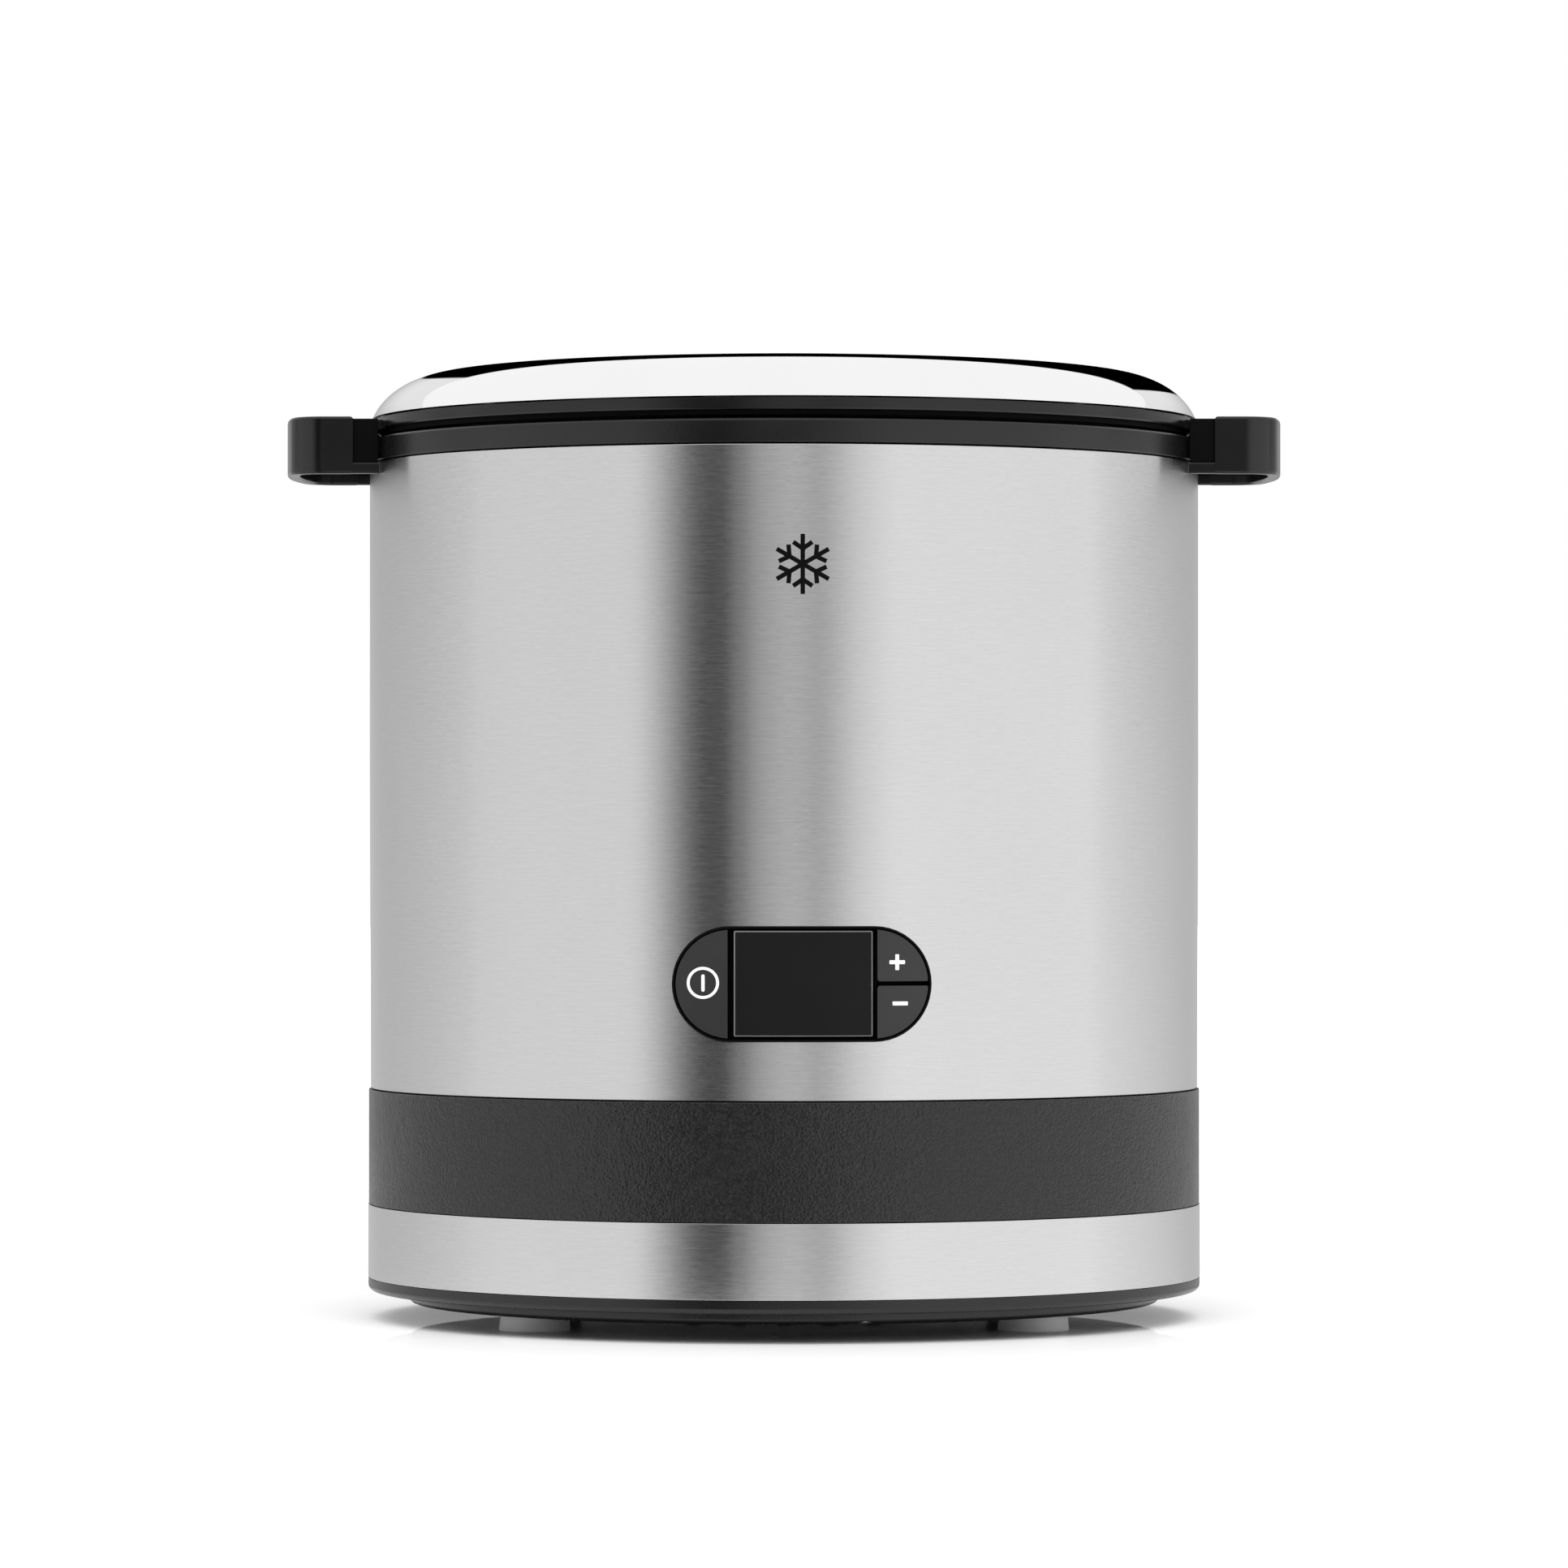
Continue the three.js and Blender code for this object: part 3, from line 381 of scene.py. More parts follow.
white_ink = moulded("white_print", grey(0.80), grey(0.86), 0.5)
black_ink = moulded("black_print", grey(0.001), grey(0.002), 0.6)
for flat, level in ((painted_shade_black, 0.12), (black_ink, 0.12), (glass, 0.08)):
    flat.node_tree.nodes["Principled BSDF"].inputs["Specular IOR Level"].default_value = level

# ---------------------------------------------------------------- placing pieces


def place(obj, material, body, slot, *nodes):
    """Gives a finished piece its material and its body, and hides the CAD nodes that it stands for."""
    if not obj.data.materials:
        obj.data.materials.append(material)
    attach(obj, body)
    if nodes:
        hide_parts(*nodes)
    return obj


def turned(name, profile, material, body, slot, *nodes, radius=0.25, segments=160):
    obj = smooth(lathe(name, rounded(profile, radius), segments))
    return place(obj, material, body, slot, *nodes)


# ---------------------------------------------------------------- base

SCREW_R, SCREW_TURN = 62.3, 12
FOOT_X, FOOT_Y = 42.4, 36.5
GLAND_Z = 28
ROUND = 256  # sides of the large round pieces


def around(count, turn=0.0):
    """Angles in degrees, evenly round the Z axis."""
    return [turn + 360 * i / count for i in range(count)]


def at(angle, r):
    return r * math.cos(math.radians(angle)), r * math.sin(math.radians(angle))


def rod(name, r, low, high, segments=32):
    return lathe(name, [(0, low), (r, low), (r, high), (0, high)], segments)


def at_gland(obj):
    obj.data.transform(Matrix.Translation((0, 0, GLAND_Z * MM)) @ BACK_TURN)
    return obj


def rod_y(name, r, low, high):
    """A rod along Y at the gland's height."""
    return at_gland(rod(name, r, low, high))


screw_places = [at(a, SCREW_R) for a in around(4, SCREW_TURN)]

turned("base_ring_trim", [(72.05, 7.3), (72.75, 7.3), (72.75, 19.95), (72.05, 19.95)],
       steel, "housing", "brushed_steel", "base_ring", radius=0.08, segments=256)

band = lathe("base_band_skin", rounded(
    [(70.2, 20.05), (72.65, 20.05), (72.65, 39.95), (71.2, 39.95), (71.2, 46), (69.8, 46), (69.8, 38),
     (70.2, 37.4)], 0.15), ROUND)
cut(band, rod_y("gland_hole", 5.3, 60, 80))
place(smooth(band), grained, "housing", "grained_plastic", "base_band")
for number, angle in enumerate(around(4, SCREW_TURN), 1):
    boss = lathe(f"screw_boss_{number}", rounded(
        [(1.7, 6.8), (3.6, 6.8), (3.6, 26), (0, 26), (0, 18), (1.7, 18)], [0.2, 0.3, 0.5, 0, 0, 0]), 40)
    place(smooth(moved(boss, *at(angle, SCREW_R))), black, "housing", "grained_plastic")
    web = prism(f"screw_web_{number}", box_outline(65.7, 70.3, -1, 1), 20.3, 26, 0.2)
    web.data.transform(Matrix.Rotation(math.radians(angle), 4, "Z"))
    place(smooth(web), black, "housing", "grained_plastic")

pan = lathe("base_pan_skin", rounded(
    [(59.5, 4.9), (72.7, 4.9), (72.7, 7.24), (71.8, 7.24), (71.8, 19.6), (70.6, 19.6), (70.6, 6.6),
     (59.5, 6.6)], [0.1, 1.3, 0.06, 0.05, 0.2, 0.2, 0.3, 0.2], 8), ROUND)
cut(pan, *[moved(rod("hole", 1.8, 4, 9), x, y) for x, y in screw_places])
place(smooth(pan), black, "housing", "black_plastic", "base_pan")

plate = lathe("base_plate_skin", rounded(
    [(0, 2.8), (65.6, 2.8), (65.6, 4.82), (0, 4.82)], [0, 1.0, 0.05, 0], 8), ROUND)
cut(plate, *[prism("vent", rounded(box_outline(x - 1.2, x + 1.2, 14, 44), 1.15), 2, 6)
             for x in (-16, -8, 0, 8, 16)],
    *[moved(rod("hole", 1.8, 2, 6), x, y) for x, y in screw_places],
    *[moved(rod("head_space", 3.2, 2, 4.1), x, y) for x, y in screw_places],
    *[moved(rod("stem_hole", 2.7, 2, 6), sx * FOOT_X, sy * FOOT_Y) for sx in (-1, 1) for sy in (-1, 1)])
place(smooth(plate), black, "housing", "black_plastic", "base_plate")
for number, (x, y) in enumerate(((-28, -49), (28, -49), (-28, -21), (28, -21)), 1):
    post = lathe(f"board_post_{number}", rounded(
        [(0, 4.7), (2.4, 4.7), (2.4, 8.3), (0, 8.3)], [0, 0, 0.3, 0]), 32)
    place(smooth(moved(post, x, y)), black, "housing", "black_plastic")

for number, (x, y) in enumerate(screw_places, 1):
    screw = lathe(f"case_screw_{number}", rounded(
        [(0, 2.9), (2.8, 2.9), (2.8, 3.9), (1.4, 3.9), (1.4, 15), (0, 15.8)],
        [0, 0.5, 0.05, 0.05, 0.1, 0]), 48)
    cut(screw, prism("slot", box_outline(-1.7, 1.7, -0.35, 0.35), 2, 3.5),
        prism("slot", box_outline(-0.35, 0.35, -1.7, 1.7), 2, 3.5))
    place(smooth(moved(screw, x, y)), plain_steel, "housing", "plain_steel", f"base_screw_{number}")


def foot(name, x, y):
    obj = lathe(name + "_pad", rounded([(0, 0), (6.1, 0), (5.8, 2.6), (2.2, 2.6), (2.2, 4.7), (0, 4.7)],
                                       [0, 0.15, 0.15, 0, 0.1, 0]), 64)
    place(smooth(moved(obj, x, y)), foot_grey_and_painted_light, "housing", "foot_rubber", name)


for side, x in (("left", -FOOT_X), ("right", FOOT_X)):
    foot("foot_front_" + side, x, -FOOT_Y)
    foot("foot_rear_" + side, x, FOOT_Y)

gland = lathe("cord_gland_skin", rounded(
    [(3.4, 66.4), (7, 66.4), (7, 69.4), (5, 69.4), (5, 72.6), (3.4, 72.6)],
    [0.2, 0.4, 0.4, 0.1, 0.6, 0.5]), 64)
place(smooth(at_gland(gland)), dark_rubber, "housing", "dark_rubber", "cord_gland")

# ---------------------------------------------------------------- panel outlines

HALF_W, HALF_H = 21.55, 9.6
KEY_EDGE = 12.4


def pill(grow=0.0, steps=24):
    r, straight = HALF_H + grow, HALF_W - HALF_H
    return arc(straight, 0, r, -90, 90, steps) + arc(-straight, 0, r, 90, 270, steps)


def key_outline(side, low, high):
    """One rounded end of the pill, or a half of it, its corners softened."""
    r, centre = HALF_H - 0.62, HALF_W - HALF_H
    low, high = max(low, -r * 0.9995), min(high, r * 0.9995)
    a0, a1 = math.degrees(math.asin(low / r)), math.degrees(math.asin(high / r))
    points = [(KEY_EDGE, low)]
    points += [(max(x, KEY_EDGE + 0.05), z) for x, z in arc(centre, 0, r, a0, a1, 20)]
    points += [(KEY_EDGE, high)]
    points = [p for i, p in enumerate(points) if (Vector(p) - Vector(points[i - 1])).length > 0.02]
    corners = (0, 1, len(points) - 2, len(points) - 1)
    radii = [0.45 if i in corners else 0 for i in range(len(points))]
    points = rounded(points, radii, 3)
    return [(side * x, z) for x, z in points]


def bend(obj, step=0.8):
    """Wraps a flat panel piece round the body. Its depth becomes the radius; X stays as seen from the front."""
    bm = bmesh.new()
    bm.from_mesh(obj.data)
    xs = [v.co.x / MM for v in bm.verts]
    x = math.ceil(min(xs) / step) * step
    while x < max(xs):
        bmesh.ops.bisect_plane(bm, geom=bm.verts[:] + bm.edges[:] + bm.faces[:], dist=1e-7,
                               plane_co=(x * MM, 0, 0), plane_no=(1, 0, 0))
        x += step
    turn = Matrix.Rotation(PANEL_TURN, 4, "Z")
    for v in bm.verts:
        r = -v.co.y
        v.co.y = -math.sqrt(r * r - v.co.x ** 2)
        v.co = turn @ v.co
        v.co.z += PANEL_Z * MM
    bm.to_mesh(obj.data)
    bm.free()
    return obj


def panel_prism(name, outline, r_in, r_out, bevel=0.0, segments=3):
    """A panel piece with its front rim bevelled, still flat."""
    bm = bmesh.new()
    face = bm.faces.new([bm.verts.new((x, -r_out, z)) for x, z in outline])
    push_face(bm, face, (0, r_out - r_in, 0))
    if bevel:
        front = [e for e in bm.edges if all(v.co.y < -r_out + 1e-3 for v in e.verts)]
        bmesh.ops.bevel(bm, geom=front, offset=bevel, segments=segments, profile=0.5, affect="EDGES",
                        clamp_overlap=True)
    return object_of(name, bm)


# ---------------------------------------------------------------- body

def level_normals(mesh):
    """Gives upright faces the normals of a true cylinder, so that cuts in them leave no shading marks."""
    normals = [None] * len(mesh.loops)
    for face in mesh.polygons:
        facing = Vector((face.center.x, face.center.y, 0)).normalized().dot(face.normal)
        for i in face.loop_indices:
            corner = mesh.vertices[mesh.loops[i].vertex_index].co
            outward = Vector((corner.x, corner.y, 0)).normalized()
            normals[i] = outward * (1 if facing > 0 else -1) if abs(facing) > 0.97 else face.normal.copy()
    mesh.normals_split_custom_set(normals)


sleeve = lathe("steel_sleeve", rounded(
    [(71.6, 40.1), (72.3, 40.1), (72.5, 96), (72.5, 148.8), (71.8, 148.8), (71.8, 96)],
    [0.1, 0.25, 0, 0.2, 0.1, 0]), ROUND)
cut(sleeve, bend(panel_prism("opening", pill(-0.02), 60, 80)))
sleeve.data.shade_smooth()
level_normals(sleeve.data)
place(sleeve, steel, "housing", "brushed_steel", "body_shell")


def ring_sector(name, r_in, r_out, middle, spread, low, high, bevel=0.0, steps=12):
    """A sector of a ring, its angles in degrees from +X."""
    outline = arc(0, 0, r_out, middle - spread / 2, middle + spread / 2, steps)
    outline += arc(0, 0, r_in, middle + spread / 2, middle - spread / 2, steps)
    return prism(name, outline, low, high, bevel)


collar = lathe("collar_ring", rounded(
    [(68.6, 149), (72.3, 149), (72.3, 153.15), (66, 153.15), (66, 152), (68.6, 152)],
    [0.1, 0.3, 0.55, 0.4, 0.2, 0.1]), ROUND)
cut(collar, *[ring_sector("notch", 64, 68.75, a, 16, 151, 154) for a in (0, 90, 180, 270)])
place(smooth(collar), black, "housing", "black_plastic", "top_collar")

turned("well_lining",
       [(8, 45), (58.4, 45), (60.4, 47), (60.4, 147.2), (71.2, 147.2), (71.2, 148.7), (59, 148.7), (59, 48.4),
        (57.4, 46.8), (8, 46.8)],
       black, "housing", "black_plastic", "bowl_well", radius=0.6)
for number, (x, y) in enumerate(((-16, 6), (16, 6), (0, 44), (-22, 40)), 1):
    pad = lathe(f"well_pad_{number}", rounded(
        [(0, 43.4), (3, 43.4), (3, 45.05), (0, 45.05)], [0, 0.3, 0, 0]), 32)
    place(smooth(moved(pad, x, y)), black, "housing", "black_plastic")

# ---------------------------------------------------------------- control panel

STEMS = {"power": (-16.2, 0), "plus": (16, 4.4), "minus": (16, -4.4)}
KEY_R = 72.6  # front of the keys and the window

tray = panel_prism("panel_tray", pill(-0.1), 69.3, 72.7, 0.12, 2)
cut(tray, panel_prism("recess", pill(-0.38), 70.3, 80),
    panel_prism("screen_hole", box_outline(-10.9, 11.2, -8.25, 8.25), 60, 80),
    *[panel_prism("stem_hole", arc(x, z, 2, 0, 350, 35), 60, 80) for x, z in STEMS.values()])
# the tray takes the painted shade black, so that the gaps round the keys read as shaded recess
place(smooth(bend(tray)), painted_shade_black, "housing", "black_plastic", "panel_bezel")

window = panel_prism("display_cover", rounded(box_outline(-11.35, 11.6, -8.65, 8.8), 0.2, 3), 70.5, KEY_R,
                     0.32, 1)
window.data.materials.append(glass)
window.data.materials.append(glass_painted_highlight)
# the bevel faces take the lighter grey as a painted highlight, the flat faces the dark glass
for polygon in window.data.polygons:
    polygon.material_index = 1 if 0.2 < abs(polygon.normal.y) < 0.95 else 0
place(smooth(bend(window), 20), glass, "housing", "display_glass", "display_window")


def key(name, body, side, low, high):
    cap = panel_prism(name + "_cap", key_outline(side, low, high), 71, KEY_R, 0.3)
    bend(cap)
    place(smooth(cap), key_black, body, "key_plastic", name + "_key")
    x, z = STEMS[name]
    post = panel_prism(name + "_post", arc(x, z, 1.6, 0, 345, 23), 67.6, 71.2)
    bend(post)
    place(smooth(post), key_black, body, "key_plastic")


key("power", "power_button", -1, -HALF_H, HALF_H)
key("plus", "plus_button", 1, 0.45, HALF_H)
key("minus", "minus_button", 1, -HALF_H, -0.3)


def printed(name, outline, body, r=72.62, material=white_ink, slot="key_plastic"):
    mark = panel_prism(name, outline, r - 0.05, r)
    return place(smooth(bend(mark, 0.4)), material, body, slot)


def annulus(name, x, z, r_out, r_in, body):
    mark = panel_prism(name, arc(x, z, r_out, 0, 354, 59), 72.57, 72.62)
    cut(mark, panel_prism("hole", arc(x, z, r_in, 0, 354, 59), 70, 75))
    return place(smooth(bend(mark, 0.4)), white_ink, body, "key_plastic")


annulus("power_mark_ring", -16.44, 0.2, 2.65, 2.17, "power_button")
printed("power_mark_bar", rounded(box_outline(-16.7, -16.15, -1.25, 1.6), 0.25), "power_button")
printed("plus_mark_across", rounded(box_outline(14.41, 17.01, 3.28, 3.92), 0.1), "plus_button")
printed("plus_mark_up", rounded(box_outline(15.39, 16.03, 2.3, 4.9), 0.1), "plus_button", 72.625)
printed("minus_mark", rounded(box_outline(14.93, 17.5, -3.55, -2.9), 0.1), "minus_button")

# ---------------------------------------------------------------- snowflake print


def snowflake(r=4.6, width=0.75):
    """Six plain arms with one pair of short twigs each, as flat strips about the centre."""
    strips = []
    for k in range(6):
        a = math.radians(60 * k + 30)
        out = Vector((math.cos(a), math.sin(a)))
        strips.append((Vector((0, 0)), out * r))
        for twist in (-55, 55):
            b = a + math.radians(twist)
            start = out * r * 0.55
            strips.append((start, start + Vector((math.cos(b), math.sin(b))) * r * 0.34))
    shapes = []
    for start, end in strips:
        along = (end - start).normalized() * width / 2
        side = Vector((-along.y, along.x))
        shapes.append([start - along * 0.4 - side, end + along - side, end + along + side,
                       start - along * 0.4 + side])
    return shapes


SNOWFLAKE_Z = 128.9
for i, shape in enumerate(snowflake()):
    outline = [(p.x, p.y + SNOWFLAKE_Z - PANEL_Z) for p in shape]
    mark = panel_prism(f"snowflake_{i + 1}", outline, 72.4, 72.52 + i * 0.0005)
    place(smooth(bend(mark, 0.6)), black_ink, "housing", "brushed_steel")

# ---------------------------------------------------------------- freezer bowl

turned("bowl_jacket",
       [(16, 50), (54.6, 50), (56, 51.4), (56, 144.2), (54.4, 144.2), (54.4, 52), (16, 52)],
       black, "bowl", "bowl_plastic", "bowl_outer", radius=0.8)
turned("bowl_lining",
       [(0, 62), (38, 62), (44.5, 64.5), (47, 71), (47, 144.2), (46, 144.2), (46, 71.4), (43.8, 65.4),
        (37.8, 63.2), (2.6, 63.2), (2.6, 66.6), (0, 66.8)],
       liner_metal, "bowl", "aluminium", "bowl_liner",
       radius=[0, 2, 4, 3, 0.2, 0.2, 3, 4, 3, 0.4, 0.5, 0])
turned("bowl_lip",
       [(45.6, 144.5), (57.2, 144.5), (57.2, 146.4), (56.4, 147.2), (46.4, 147.2), (45.6, 146.4)],
       black, "bowl", "bowl_plastic", "bowl_rim", radius=0.5)
turned("glide_ring_skin", [(40, 47), (44, 47), (44, 49.6), (40, 49.6)],
       pale, "bowl_seat", "pale_plastic", "glide_ring", radius=0.4)

coupling = prism("coupling_hexagon", rounded([at(a, 9.6) for a in around(6)], 0.5), 48.2, 57, 0.4)
cut(coupling, rod("bore", 4.2, 40, 56.6))
place(smooth(coupling), gear_white, "spindle", "gear_plastic", "drive_coupling")

# ---------------------------------------------------------------- lid

EAR_R, EAR_HALF_Y, EAR_CORNER, EAR_T = 86.85, 20.5, 6.0, 2.2
EAR_Z0, EAR_Z1, STRIP_Z1 = 146.55, 156.45, 148.5
CHEEK_Y, CHEEK_HALF = 18.9, 0.95  # upright plates behind the wall's end, closing the loop at the collar; near-black as painted shade
COLLAR_SPACE_R, COLLAR_SPACE_Z1 = 72.8, 153.7
RIM_Z0, RIM_Z1 = 154.5, 156.6


def ear_line(side, inset, front_x, back_x, steps=8):
    """The ear's outline from the front wall round to the back wall, moved in by inset."""
    corner_y = EAR_HALF_Y - EAR_CORNER
    corner_x = math.sqrt((EAR_R - EAR_CORNER) ** 2 - corner_y ** 2)
    tangent = math.degrees(math.atan2(corner_y, corner_x))
    line = [(front_x, -(EAR_HALF_Y - inset))]
    line += arc(corner_x, -corner_y, EAR_CORNER - inset, -90, -tangent, steps)
    line += arc(0, 0, EAR_R - inset, -tangent, tangent, 14)[1:-1]
    line += arc(corner_x, corner_y, EAR_CORNER - inset, tangent, 90, steps)
    line += [(back_x, EAR_HALF_Y - inset)]
    return [(side * x, y) for x, y in line]


def ear(name, side):
    wall_line = ear_line(side, 0, 74.4, 75.8) + ear_line(side, EAR_T, 74.4, 75.8)[::-1]
    walls = prism(name + "_walls", wall_line, EAR_Z0, EAR_Z1, 0.5)
    strip_line = ear_line(side, 0.1, 68.8, 68.8) + ear_line(side, EAR_T - 0.1, 69.4, 69.4)[::-1]
    strip = prism(name + "_strip", strip_line, 146.6, STRIP_Z1, 0.25)
    middle = 0 if side > 0 else 180
    flange = ring_sector(name + "_flange", 70.9, 76.4, middle, 29.4, 154.2, 156.0, 0.3)
    heel = ring_sector(name + "_heel", 73.0, 75.0, middle, 17, 148.6, 156.0, 0.3)
    cheeks = []
    for i, y in enumerate((-CHEEK_Y, CHEEK_Y)):
        cheek_line = box_outline(*sorted((side * 70.1, side * 78.9)), y - CHEEK_HALF, y + CHEEK_HALF)
        cheeks.append(prism(name + f"_cheek_{i + 1}", cheek_line, 148.45, 156.1, 0.2))
    for piece in (strip, *cheeks):
        cut(piece, prism("collar_space", arc(0, 0, COLLAR_SPACE_R, 0, 357, 119), 140, COLLAR_SPACE_Z1))
    # the cheeks take the painted shade black, the other pieces the lid's black plastic
    for piece in (walls, strip, flange, heel, *cheeks):
        place(smooth(piece), painted_shade_black if piece in cheeks else lid_black, "lid", "black_plastic")


turned("lid_rim",
       [(63.8, 149.8), (65.5, 149.8), (65.5, 153.7), (69.4, 153.7), (69.4, RIM_Z0), (71.9, RIM_Z0),
        (71.7, RIM_Z1), (63.8, RIM_Z1)],
       lid_black, "lid", "black_plastic", "lid_ring", radius=[0.3, 0.3, 0.2, 0.2, 0, 0.35, 0.12, 0.2],
       segments=ROUND)
# the lip in the groove under the rim takes the painted shade black, so that the groove reads as shadow
turned("lid_lip", [(69.2, 153.72), (70.5, 153.72), (70.5, 154.6), (69.2, 154.6)],
       painted_shade_black, "lid", "black_plastic", radius=0.08, segments=ROUND)
ear("left_ear", -1)
ear("right_ear", 1)
for number, angle in enumerate((0, 90, 180, 270)):
    lug = ring_sector(f"lid_lug_{number + 1}", 64.5, 68.1, angle, 12, 149.9, 151.6, 0.3)
    place(smooth(lug), lid_black, "lid", "black_plastic")


CROWN_TOP, CROWN_R = 167.06, 705
SHOULDER_R, SHOULDER_W, SHOULDER_H = 58.3, 14.5, 11.3  # where the crown ends, and the shoulder's half axes
DOME_Z0 = 156.82
DOME_T = 0.8
FILLER_R = 15.5


def crown_z(r):
    return CROWN_TOP - CROWN_R + math.sqrt(CROWN_R ** 2 - r ** 2)


def dome_line(steps=40):
    """The dome's outer line: a shallow crown, then an elliptical shoulder down to the rim."""
    line = [(r, crown_z(r)) for r in (FILLER_R, 24, 34, 44, 52, 56)]
    low = crown_z(SHOULDER_R) - SHOULDER_H
    end = math.acos((DOME_Z0 - low) / SHOULDER_H)
    for i in range(steps + 1):
        a = end * i / steps
        line.append((SHOULDER_R + SHOULDER_W * math.sin(a), low + SHOULDER_H * math.cos(a)))
    return line


outer = dome_line()
edge_r, edge_z = outer[-1]
inner = [(edge_r - 0.75, edge_z - 0.02), (69, 160), (65.5, 162.4), (SHOULDER_R, crown_z(SHOULDER_R) - DOME_T),
         (FILLER_R, crown_z(FILLER_R) - DOME_T)]
dome = lathe("dome_sheet", outer + inner, ROUND)
place(smooth(dome, 30), dome_steel, "lid", "polished_steel", "lid_dome")

turned("lid_cover",
       [(12.6, 147), (14.2, 147), (14.2, 152.6), (63.4, 152.6), (63.4, 154.4), (14.2, 154.4), (14.2, 165),
        (12.6, 165)],
       pale, "lid", "pale_plastic", "lid_liner", radius=0.3)
for number, angle in enumerate((0, 180), 1):
    dog = ring_sector(f"paddle_dog_{number}", 14.1, 16, angle, 12, 148, 150.6, 0.25)
    place(smooth(dog), pale, "lid", "pale_plastic")
turned("lid_gasket", [(60.4, 149.1), (63.2, 149.1), (63.2, 152.4), (60.4, 152.4)],
       soft_silicone, "lid", "silicone", "lid_seal", radius=0.9)
turned("cap_body",
       [(0, 158), (12, 158), (12, 165.3), (15, 165.3), (15, 166.9), (11.8, 167.0), (10.5, 163.2), (0, 163.2)],
       lid_black, "cap", "black_plastic", "filler_cap", radius=[0, 0.6, 0.3, 0.3, 0.4, 0.5, 0.8, 0])
grip = prism("cap_grip", rounded(box_outline(-11.2, 11.2, -1.6, 1.6), 0.8), 162.8, 166.8, 0.6)
place(smooth(grip), lid_black, "cap", "black_plastic")

# ---------------------------------------------------------------- paddle

hanger = lathe("paddle_ring", rounded([(14.7, 145.8), (17.6, 145.8), (17.6, 151.6), (14.7, 151.6)], 0.4), 96)
cut(hanger, *[ring_sector("slot", 14, 16.4, a - 7.5, 31, 147.4, 152) for a in (0, 180)])
place(smooth(hanger), pale, "paddle_body", "pale_plastic", "paddle")
socket = lathe("paddle_socket", rounded([(3, 64), (6, 64), (6, 72), (3, 72)], 0.5), 48)
place(smooth(socket), pale, "paddle_body", "pale_plastic")
blade_line = [(37.4, 64.4), (40.6, 66.6), (43.4, 72.6), (44.4, 74), (44.4, 149.6), (39.4, 149.6), (37, 76),
              (33, 69.4)]
for side, sign in (("left", -1), ("right", 1)):
    outline = rounded([(sign * x, z) for x, z in blade_line], [0.5, 1.5, 1.5, 0.8, 1.2, 1.2, 3, 1.5])
    blade = prism(f"paddle_blade_{side}", outline, -1.5, 1.5, 0.45, "Y")
    place(smooth(blade), pale, "paddle_body", "pale_plastic")
for label, ends, low, high in (("foot", (5, 37.6), 64.4, 69.4), ("top", (16.8, 41), 146, 149.6)):
    for side, sign in (("left", -1), ("right", 1)):
        outline = box_outline(*sorted(sign * x for x in ends), low, high)
        arm = prism(f"paddle_{label}_arm_{side}", outline, -1.45, 1.45, 0.4, "Y")
        place(smooth(arm), pale, "paddle_body", "pale_plastic")
bar = prism("paddle_crossbar", box_outline(-41, 41, 104, 108), -1.45, 1.45, 0.4, "Y")
place(smooth(bar), pale, "paddle_body", "pale_plastic")

# ---------------------------------------------------------------- materials on the carried-over pieces

carried = {
    pale: ("gearbox_case", "gearbox_cover", "display_module"),
    plain_steel: ("lay_axle", "motor_can", "capacitor", "motor_axle", "drive_spindle"),
    gear_white: ("motor_pinion", "lay_gear", "output_gear"),
    dark_rubber: ("shaft_seal", "motor_lead", "power_switch", "plus_switch", "minus_switch"),
    board: ("power_board", "control_board"),
    soft_silicone: ("panel_harness",),
    bronze: ("spindle_bush",),
    iron: ("transformer",),
    black: ("bowl_hub",),
    gel: ("coolant_gel",),
}
for material, names in carried.items():
    for name in names:
        for slot in frame["nodes"][name].material_slots:
            slot.material = material

# ---------------------------------------------------------------- studio


def floor():
    """
    A wide pale sheet with a faint mirror gloss that fades away from the object. Gloss on the object sees
    only the floor just round it, and the studio walls beyond, as it does on a short table.
    """
    n = Nodes("studio_floor")
    n.put(n.shader.inputs["Base Color"], n.mix(n.noise(n.coords, 30), grey(0.88), grey(0.90)))
    n.shader.inputs["Roughness"].default_value = 0.8
    n.shader.inputs["Specular IOR Level"].default_value = 0.0
    gloss = n.node("ShaderNodeBsdfGlossy", Roughness=0.0)
    x, y, z = n.node("ShaderNodeSeparateXYZ", Vector=n.coords).outputs
    away = n.math("SQRT", n.math("ADD", n.math("MULTIPLY", x, x), n.math("MULTIPLY", y, y)))
    mixed = n.node("ShaderNodeMixShader", Fac=n.span(away, 0.30, 0.0, 0.07, 0.42))
    n.tree.links.new(n.shader.outputs[0], mixed.inputs[1])
    n.tree.links.new(gloss.outputs[0], mixed.inputs[2])
    n.tree.links.new(mixed.outputs[0], n.tree.nodes["Material Output"].inputs["Surface"])
    near, far = 0.09, 6.0
    ring = [(math.cos(2 * math.pi * i / 96), math.sin(2 * math.pi * i / 96), 0) for i in range(96)]
    for name, verts, faces in (
        ("floor_near", [(x * near, y * near, 0) for x, y, z in ring], [tuple(range(96))]),
        ("floor_far", [(x * r, y * r, 0) for r in (near, far) for x, y, z in ring],
         [(i, 96 + i, 96 + (i + 1) % 96, (i + 1) % 96) for i in range(96)]),
    ):
        mesh = bpy.data.meshes.new(name)
        mesh.from_pydata(verts, [], faces)
        obj = bpy.data.objects.new(name, mesh)
        bpy.context.scene.collection.objects.link(obj)
        obj.data.materials.append(n.material)
        obj.visible_glossy = name == "floor_near"


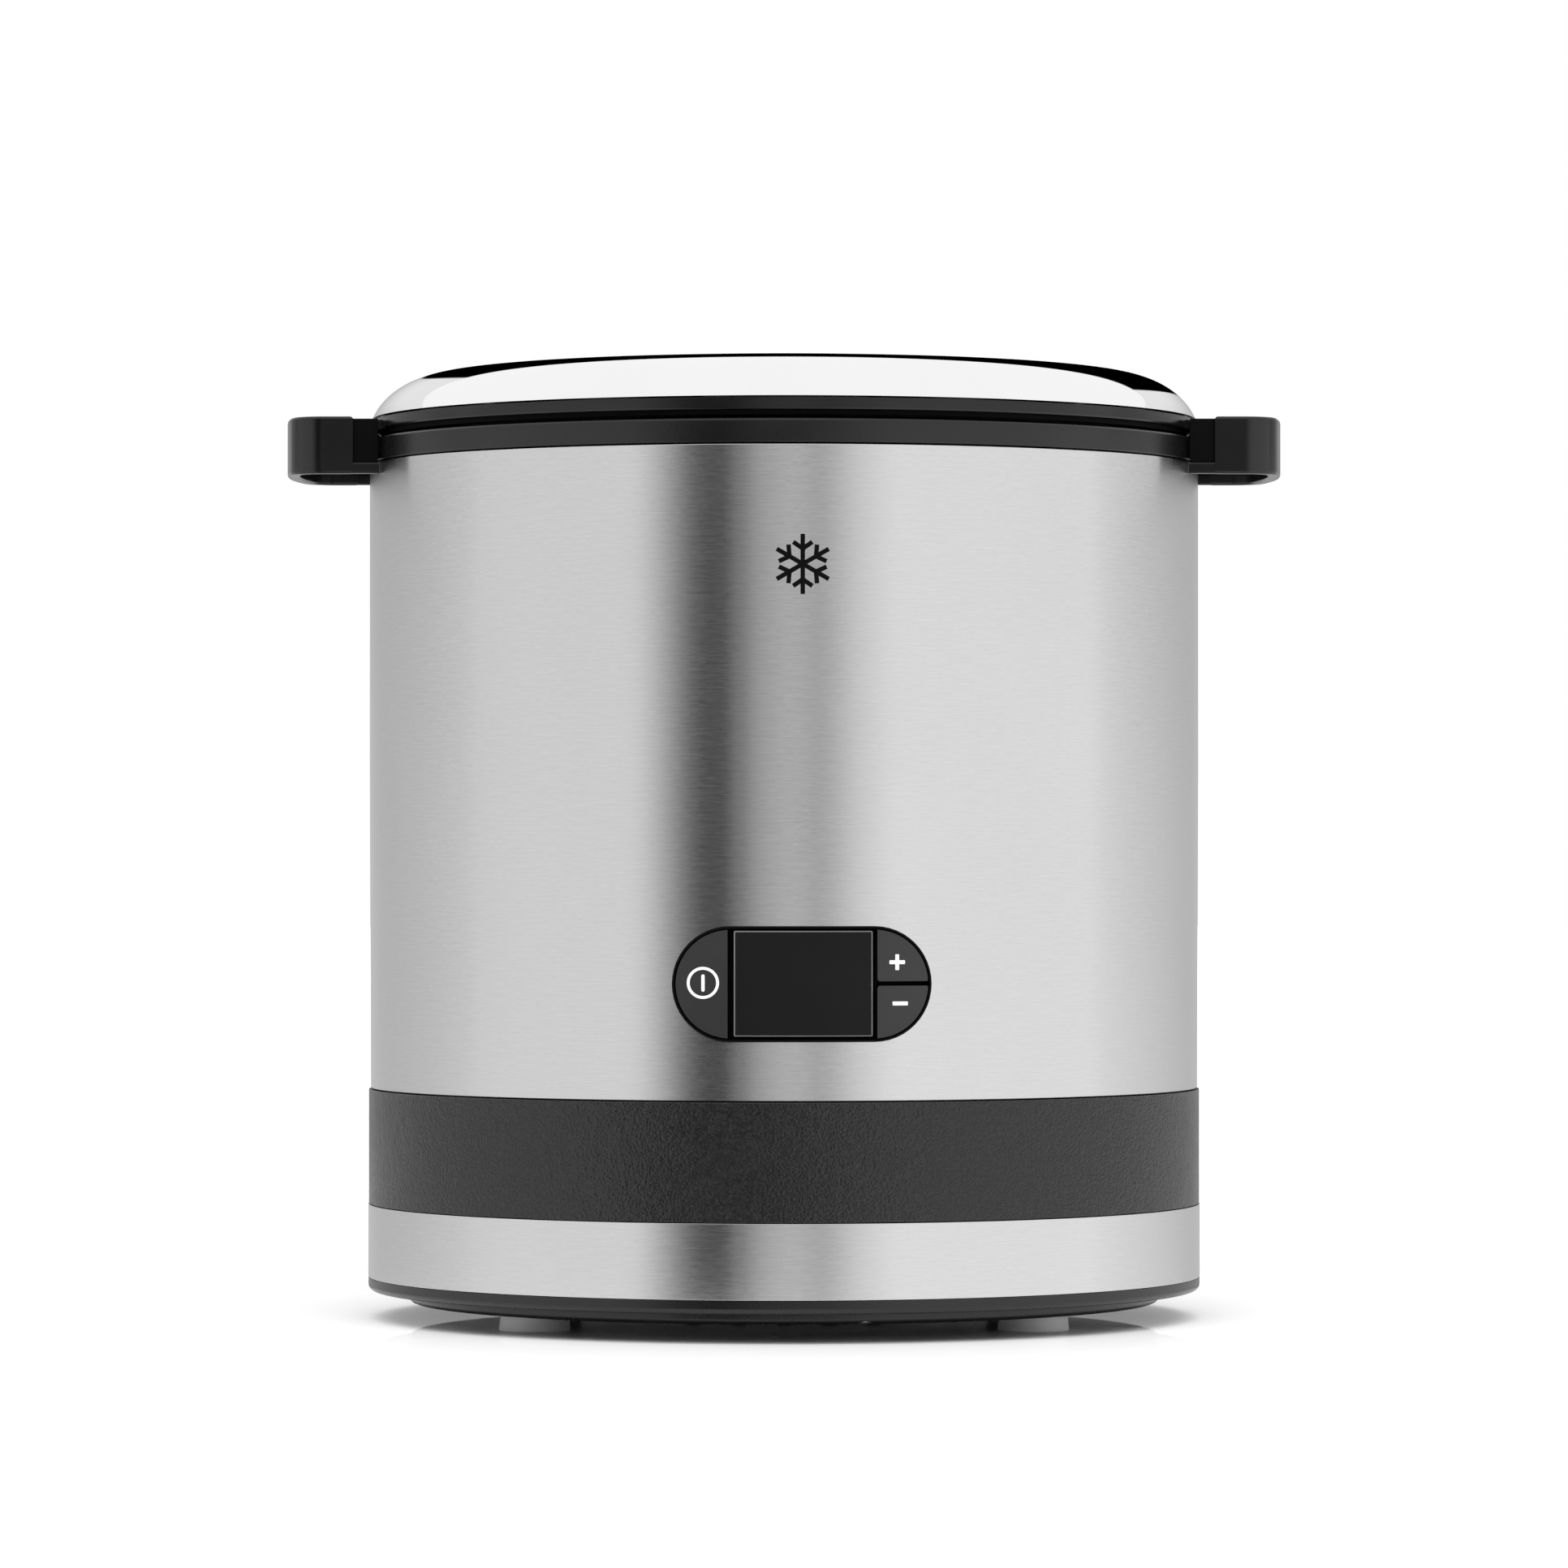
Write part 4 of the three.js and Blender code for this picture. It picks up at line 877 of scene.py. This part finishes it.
def world():
    """A white studio: soft walls, a dark flag left of the camera, a light ceiling that is dark at the back."""
    made = bpy.data.worlds.new("studio")
    bpy.context.scene.world = made
    made.use_nodes = True
    tree = made.node_tree
    tree.nodes.clear()

    def put(socket, value):
        if isinstance(value, bpy.types.NodeSocket):
            tree.links.new(value, socket)
        else:
            socket.default_value = value

    def calc(operation, *values):
        node = tree.nodes.new("ShaderNodeMath")
        node.operation = operation
        for socket, value in zip(node.inputs, values):
            put(socket, value)
        return node.outputs[0]

    def past(value, start, end):
        """0 before start and 1 after end, with a soft step between them."""
        node = tree.nodes.new("ShaderNodeMapRange")
        node.interpolation_type = "SMOOTHSTEP"
        for socket, v in zip(node.inputs, (value, start, end, 0.0, 1.0)):
            put(socket, v)
        return node.outputs[0]

    def within(value, low, high, edge):
        return calc("MULTIPLY", past(value, low - edge, low + edge),
                    calc("SUBTRACT", 1.0, past(value, high - edge, high + edge)))

    def blend(factor, a, b):
        return calc("ADD", calc("MULTIPLY", a, calc("SUBTRACT", 1.0, factor)), calc("MULTIPLY", b, factor))

    coords = tree.nodes.new("ShaderNodeTexCoord")
    split = tree.nodes.new("ShaderNodeSeparateXYZ")
    tree.links.new(coords.outputs["Generated"], split.inputs[0])
    x, y, z = split.outputs
    azimuth = calc("MULTIPLY", calc("ARCTAN2", x, calc("MULTIPLY", y, -1.0)), 180 / math.pi)
    elevation = calc("MULTIPLY", calc("ARCSINE", z), 180 / math.pi)

    # walls, by degrees round from the camera: positive to the right
    walls = blend(past(azimuth, -165, -70), 0.58, 0.95)
    walls = blend(past(azimuth, -44, -21), walls, 0.02)
    walls = blend(past(azimuth, -17, 1), walls, 0.80)
    walls = calc("ADD", walls, calc("MULTIPLY", within(azimuth, -14.0, -12.8, 0.3), 0.17))
    walls = calc("ADD", walls, calc("MULTIPLY", within(azimuth, 7, 17, 4), -0.16))
    walls = blend(past(azimuth, 15, 33), walls, 1.10)
    walls = blend(past(azimuth, 93, 168), walls, 0.55)
    # the camera itself, dark in whatever faces it
    lens = calc("MULTIPLY", within(azimuth, -6, 12, 4), within(elevation, -2, 7, 2))
    walls = blend(lens, walls, 0.02)

    # the ceiling, by where a ray meets a level plane one unit up
    up = calc("MAXIMUM", z, 0.01)
    across, back = calc("DIVIDE", x, up), calc("DIVIDE", y, up)
    eaves = blend(past(calc("ABSOLUTE", azimuth), 50, 80), 22, 8)
    light = blend(past(calc("SUBTRACT", elevation, eaves), 0, 9), walls, 0.97)
    # a grey rail along the front walls, so that the lid's crown stands out from the walls when seen from behind
    front = calc("SUBTRACT", 1.0, past(calc("ABSOLUTE", azimuth), 90, 120))
    rail = calc("MULTIPLY", within(elevation, 5, 20, 2), front)
    light = calc("MULTIPLY", light, calc("SUBTRACT", 1.0, calc("MULTIPLY", rail, 0.26)))
    behind = past(back, 1.50, 1.56)
    sides = blend(within(across, -0.58, 0.90, 0.02), blend(past(elevation, 3, 22), 0.45, 0.82), 0.0)
    light = blend(calc("MULTIPLY", behind, past(z, 0.01, 0.06)), light, sides)
    paths = tree.nodes.new("ShaderNodeLightPath")
    background = tree.nodes.new("ShaderNodeBackground")
    background.inputs["Color"].default_value = (1, 1, 1, 1)
    plain = calc("MAXIMUM", paths.outputs["Is Camera Ray"], paths.outputs["Is Singular Ray"])
    put(background.inputs["Strength"], blend(plain, light, 1.0))
    output = tree.nodes.new("ShaderNodeOutputWorld")
    tree.links.new(background.outputs[0], output.inputs["Surface"])


def soft_sun():
    """Even light from above the camera, as from a wide bank of lamps, which leaves no glint of its own."""
    data = bpy.data.lights.new("lamp_bank", "SUN")
    data.energy = 2.6
    data.angle = math.radians(70)
    obj = bpy.data.objects.new("lamp_bank", data)
    obj.rotation_euler = (math.radians(22), 0, 0)
    obj.visible_glossy = False
    bpy.context.scene.collection.objects.link(obj)


floor()
world()
soft_sun()

camera_data = bpy.data.cameras.new("camera")
camera_data.lens = 162.1
camera_data.sensor_width = 36
camera = bpy.data.objects.new("camera", camera_data)
camera.location = (0, -1.238, 0.0825)
camera.rotation_euler = (math.radians(90.494), 0, 0)
bpy.context.scene.collection.objects.link(camera)
bpy.context.scene.camera = camera
bpy.context.scene.view_settings.view_transform = "Standard"
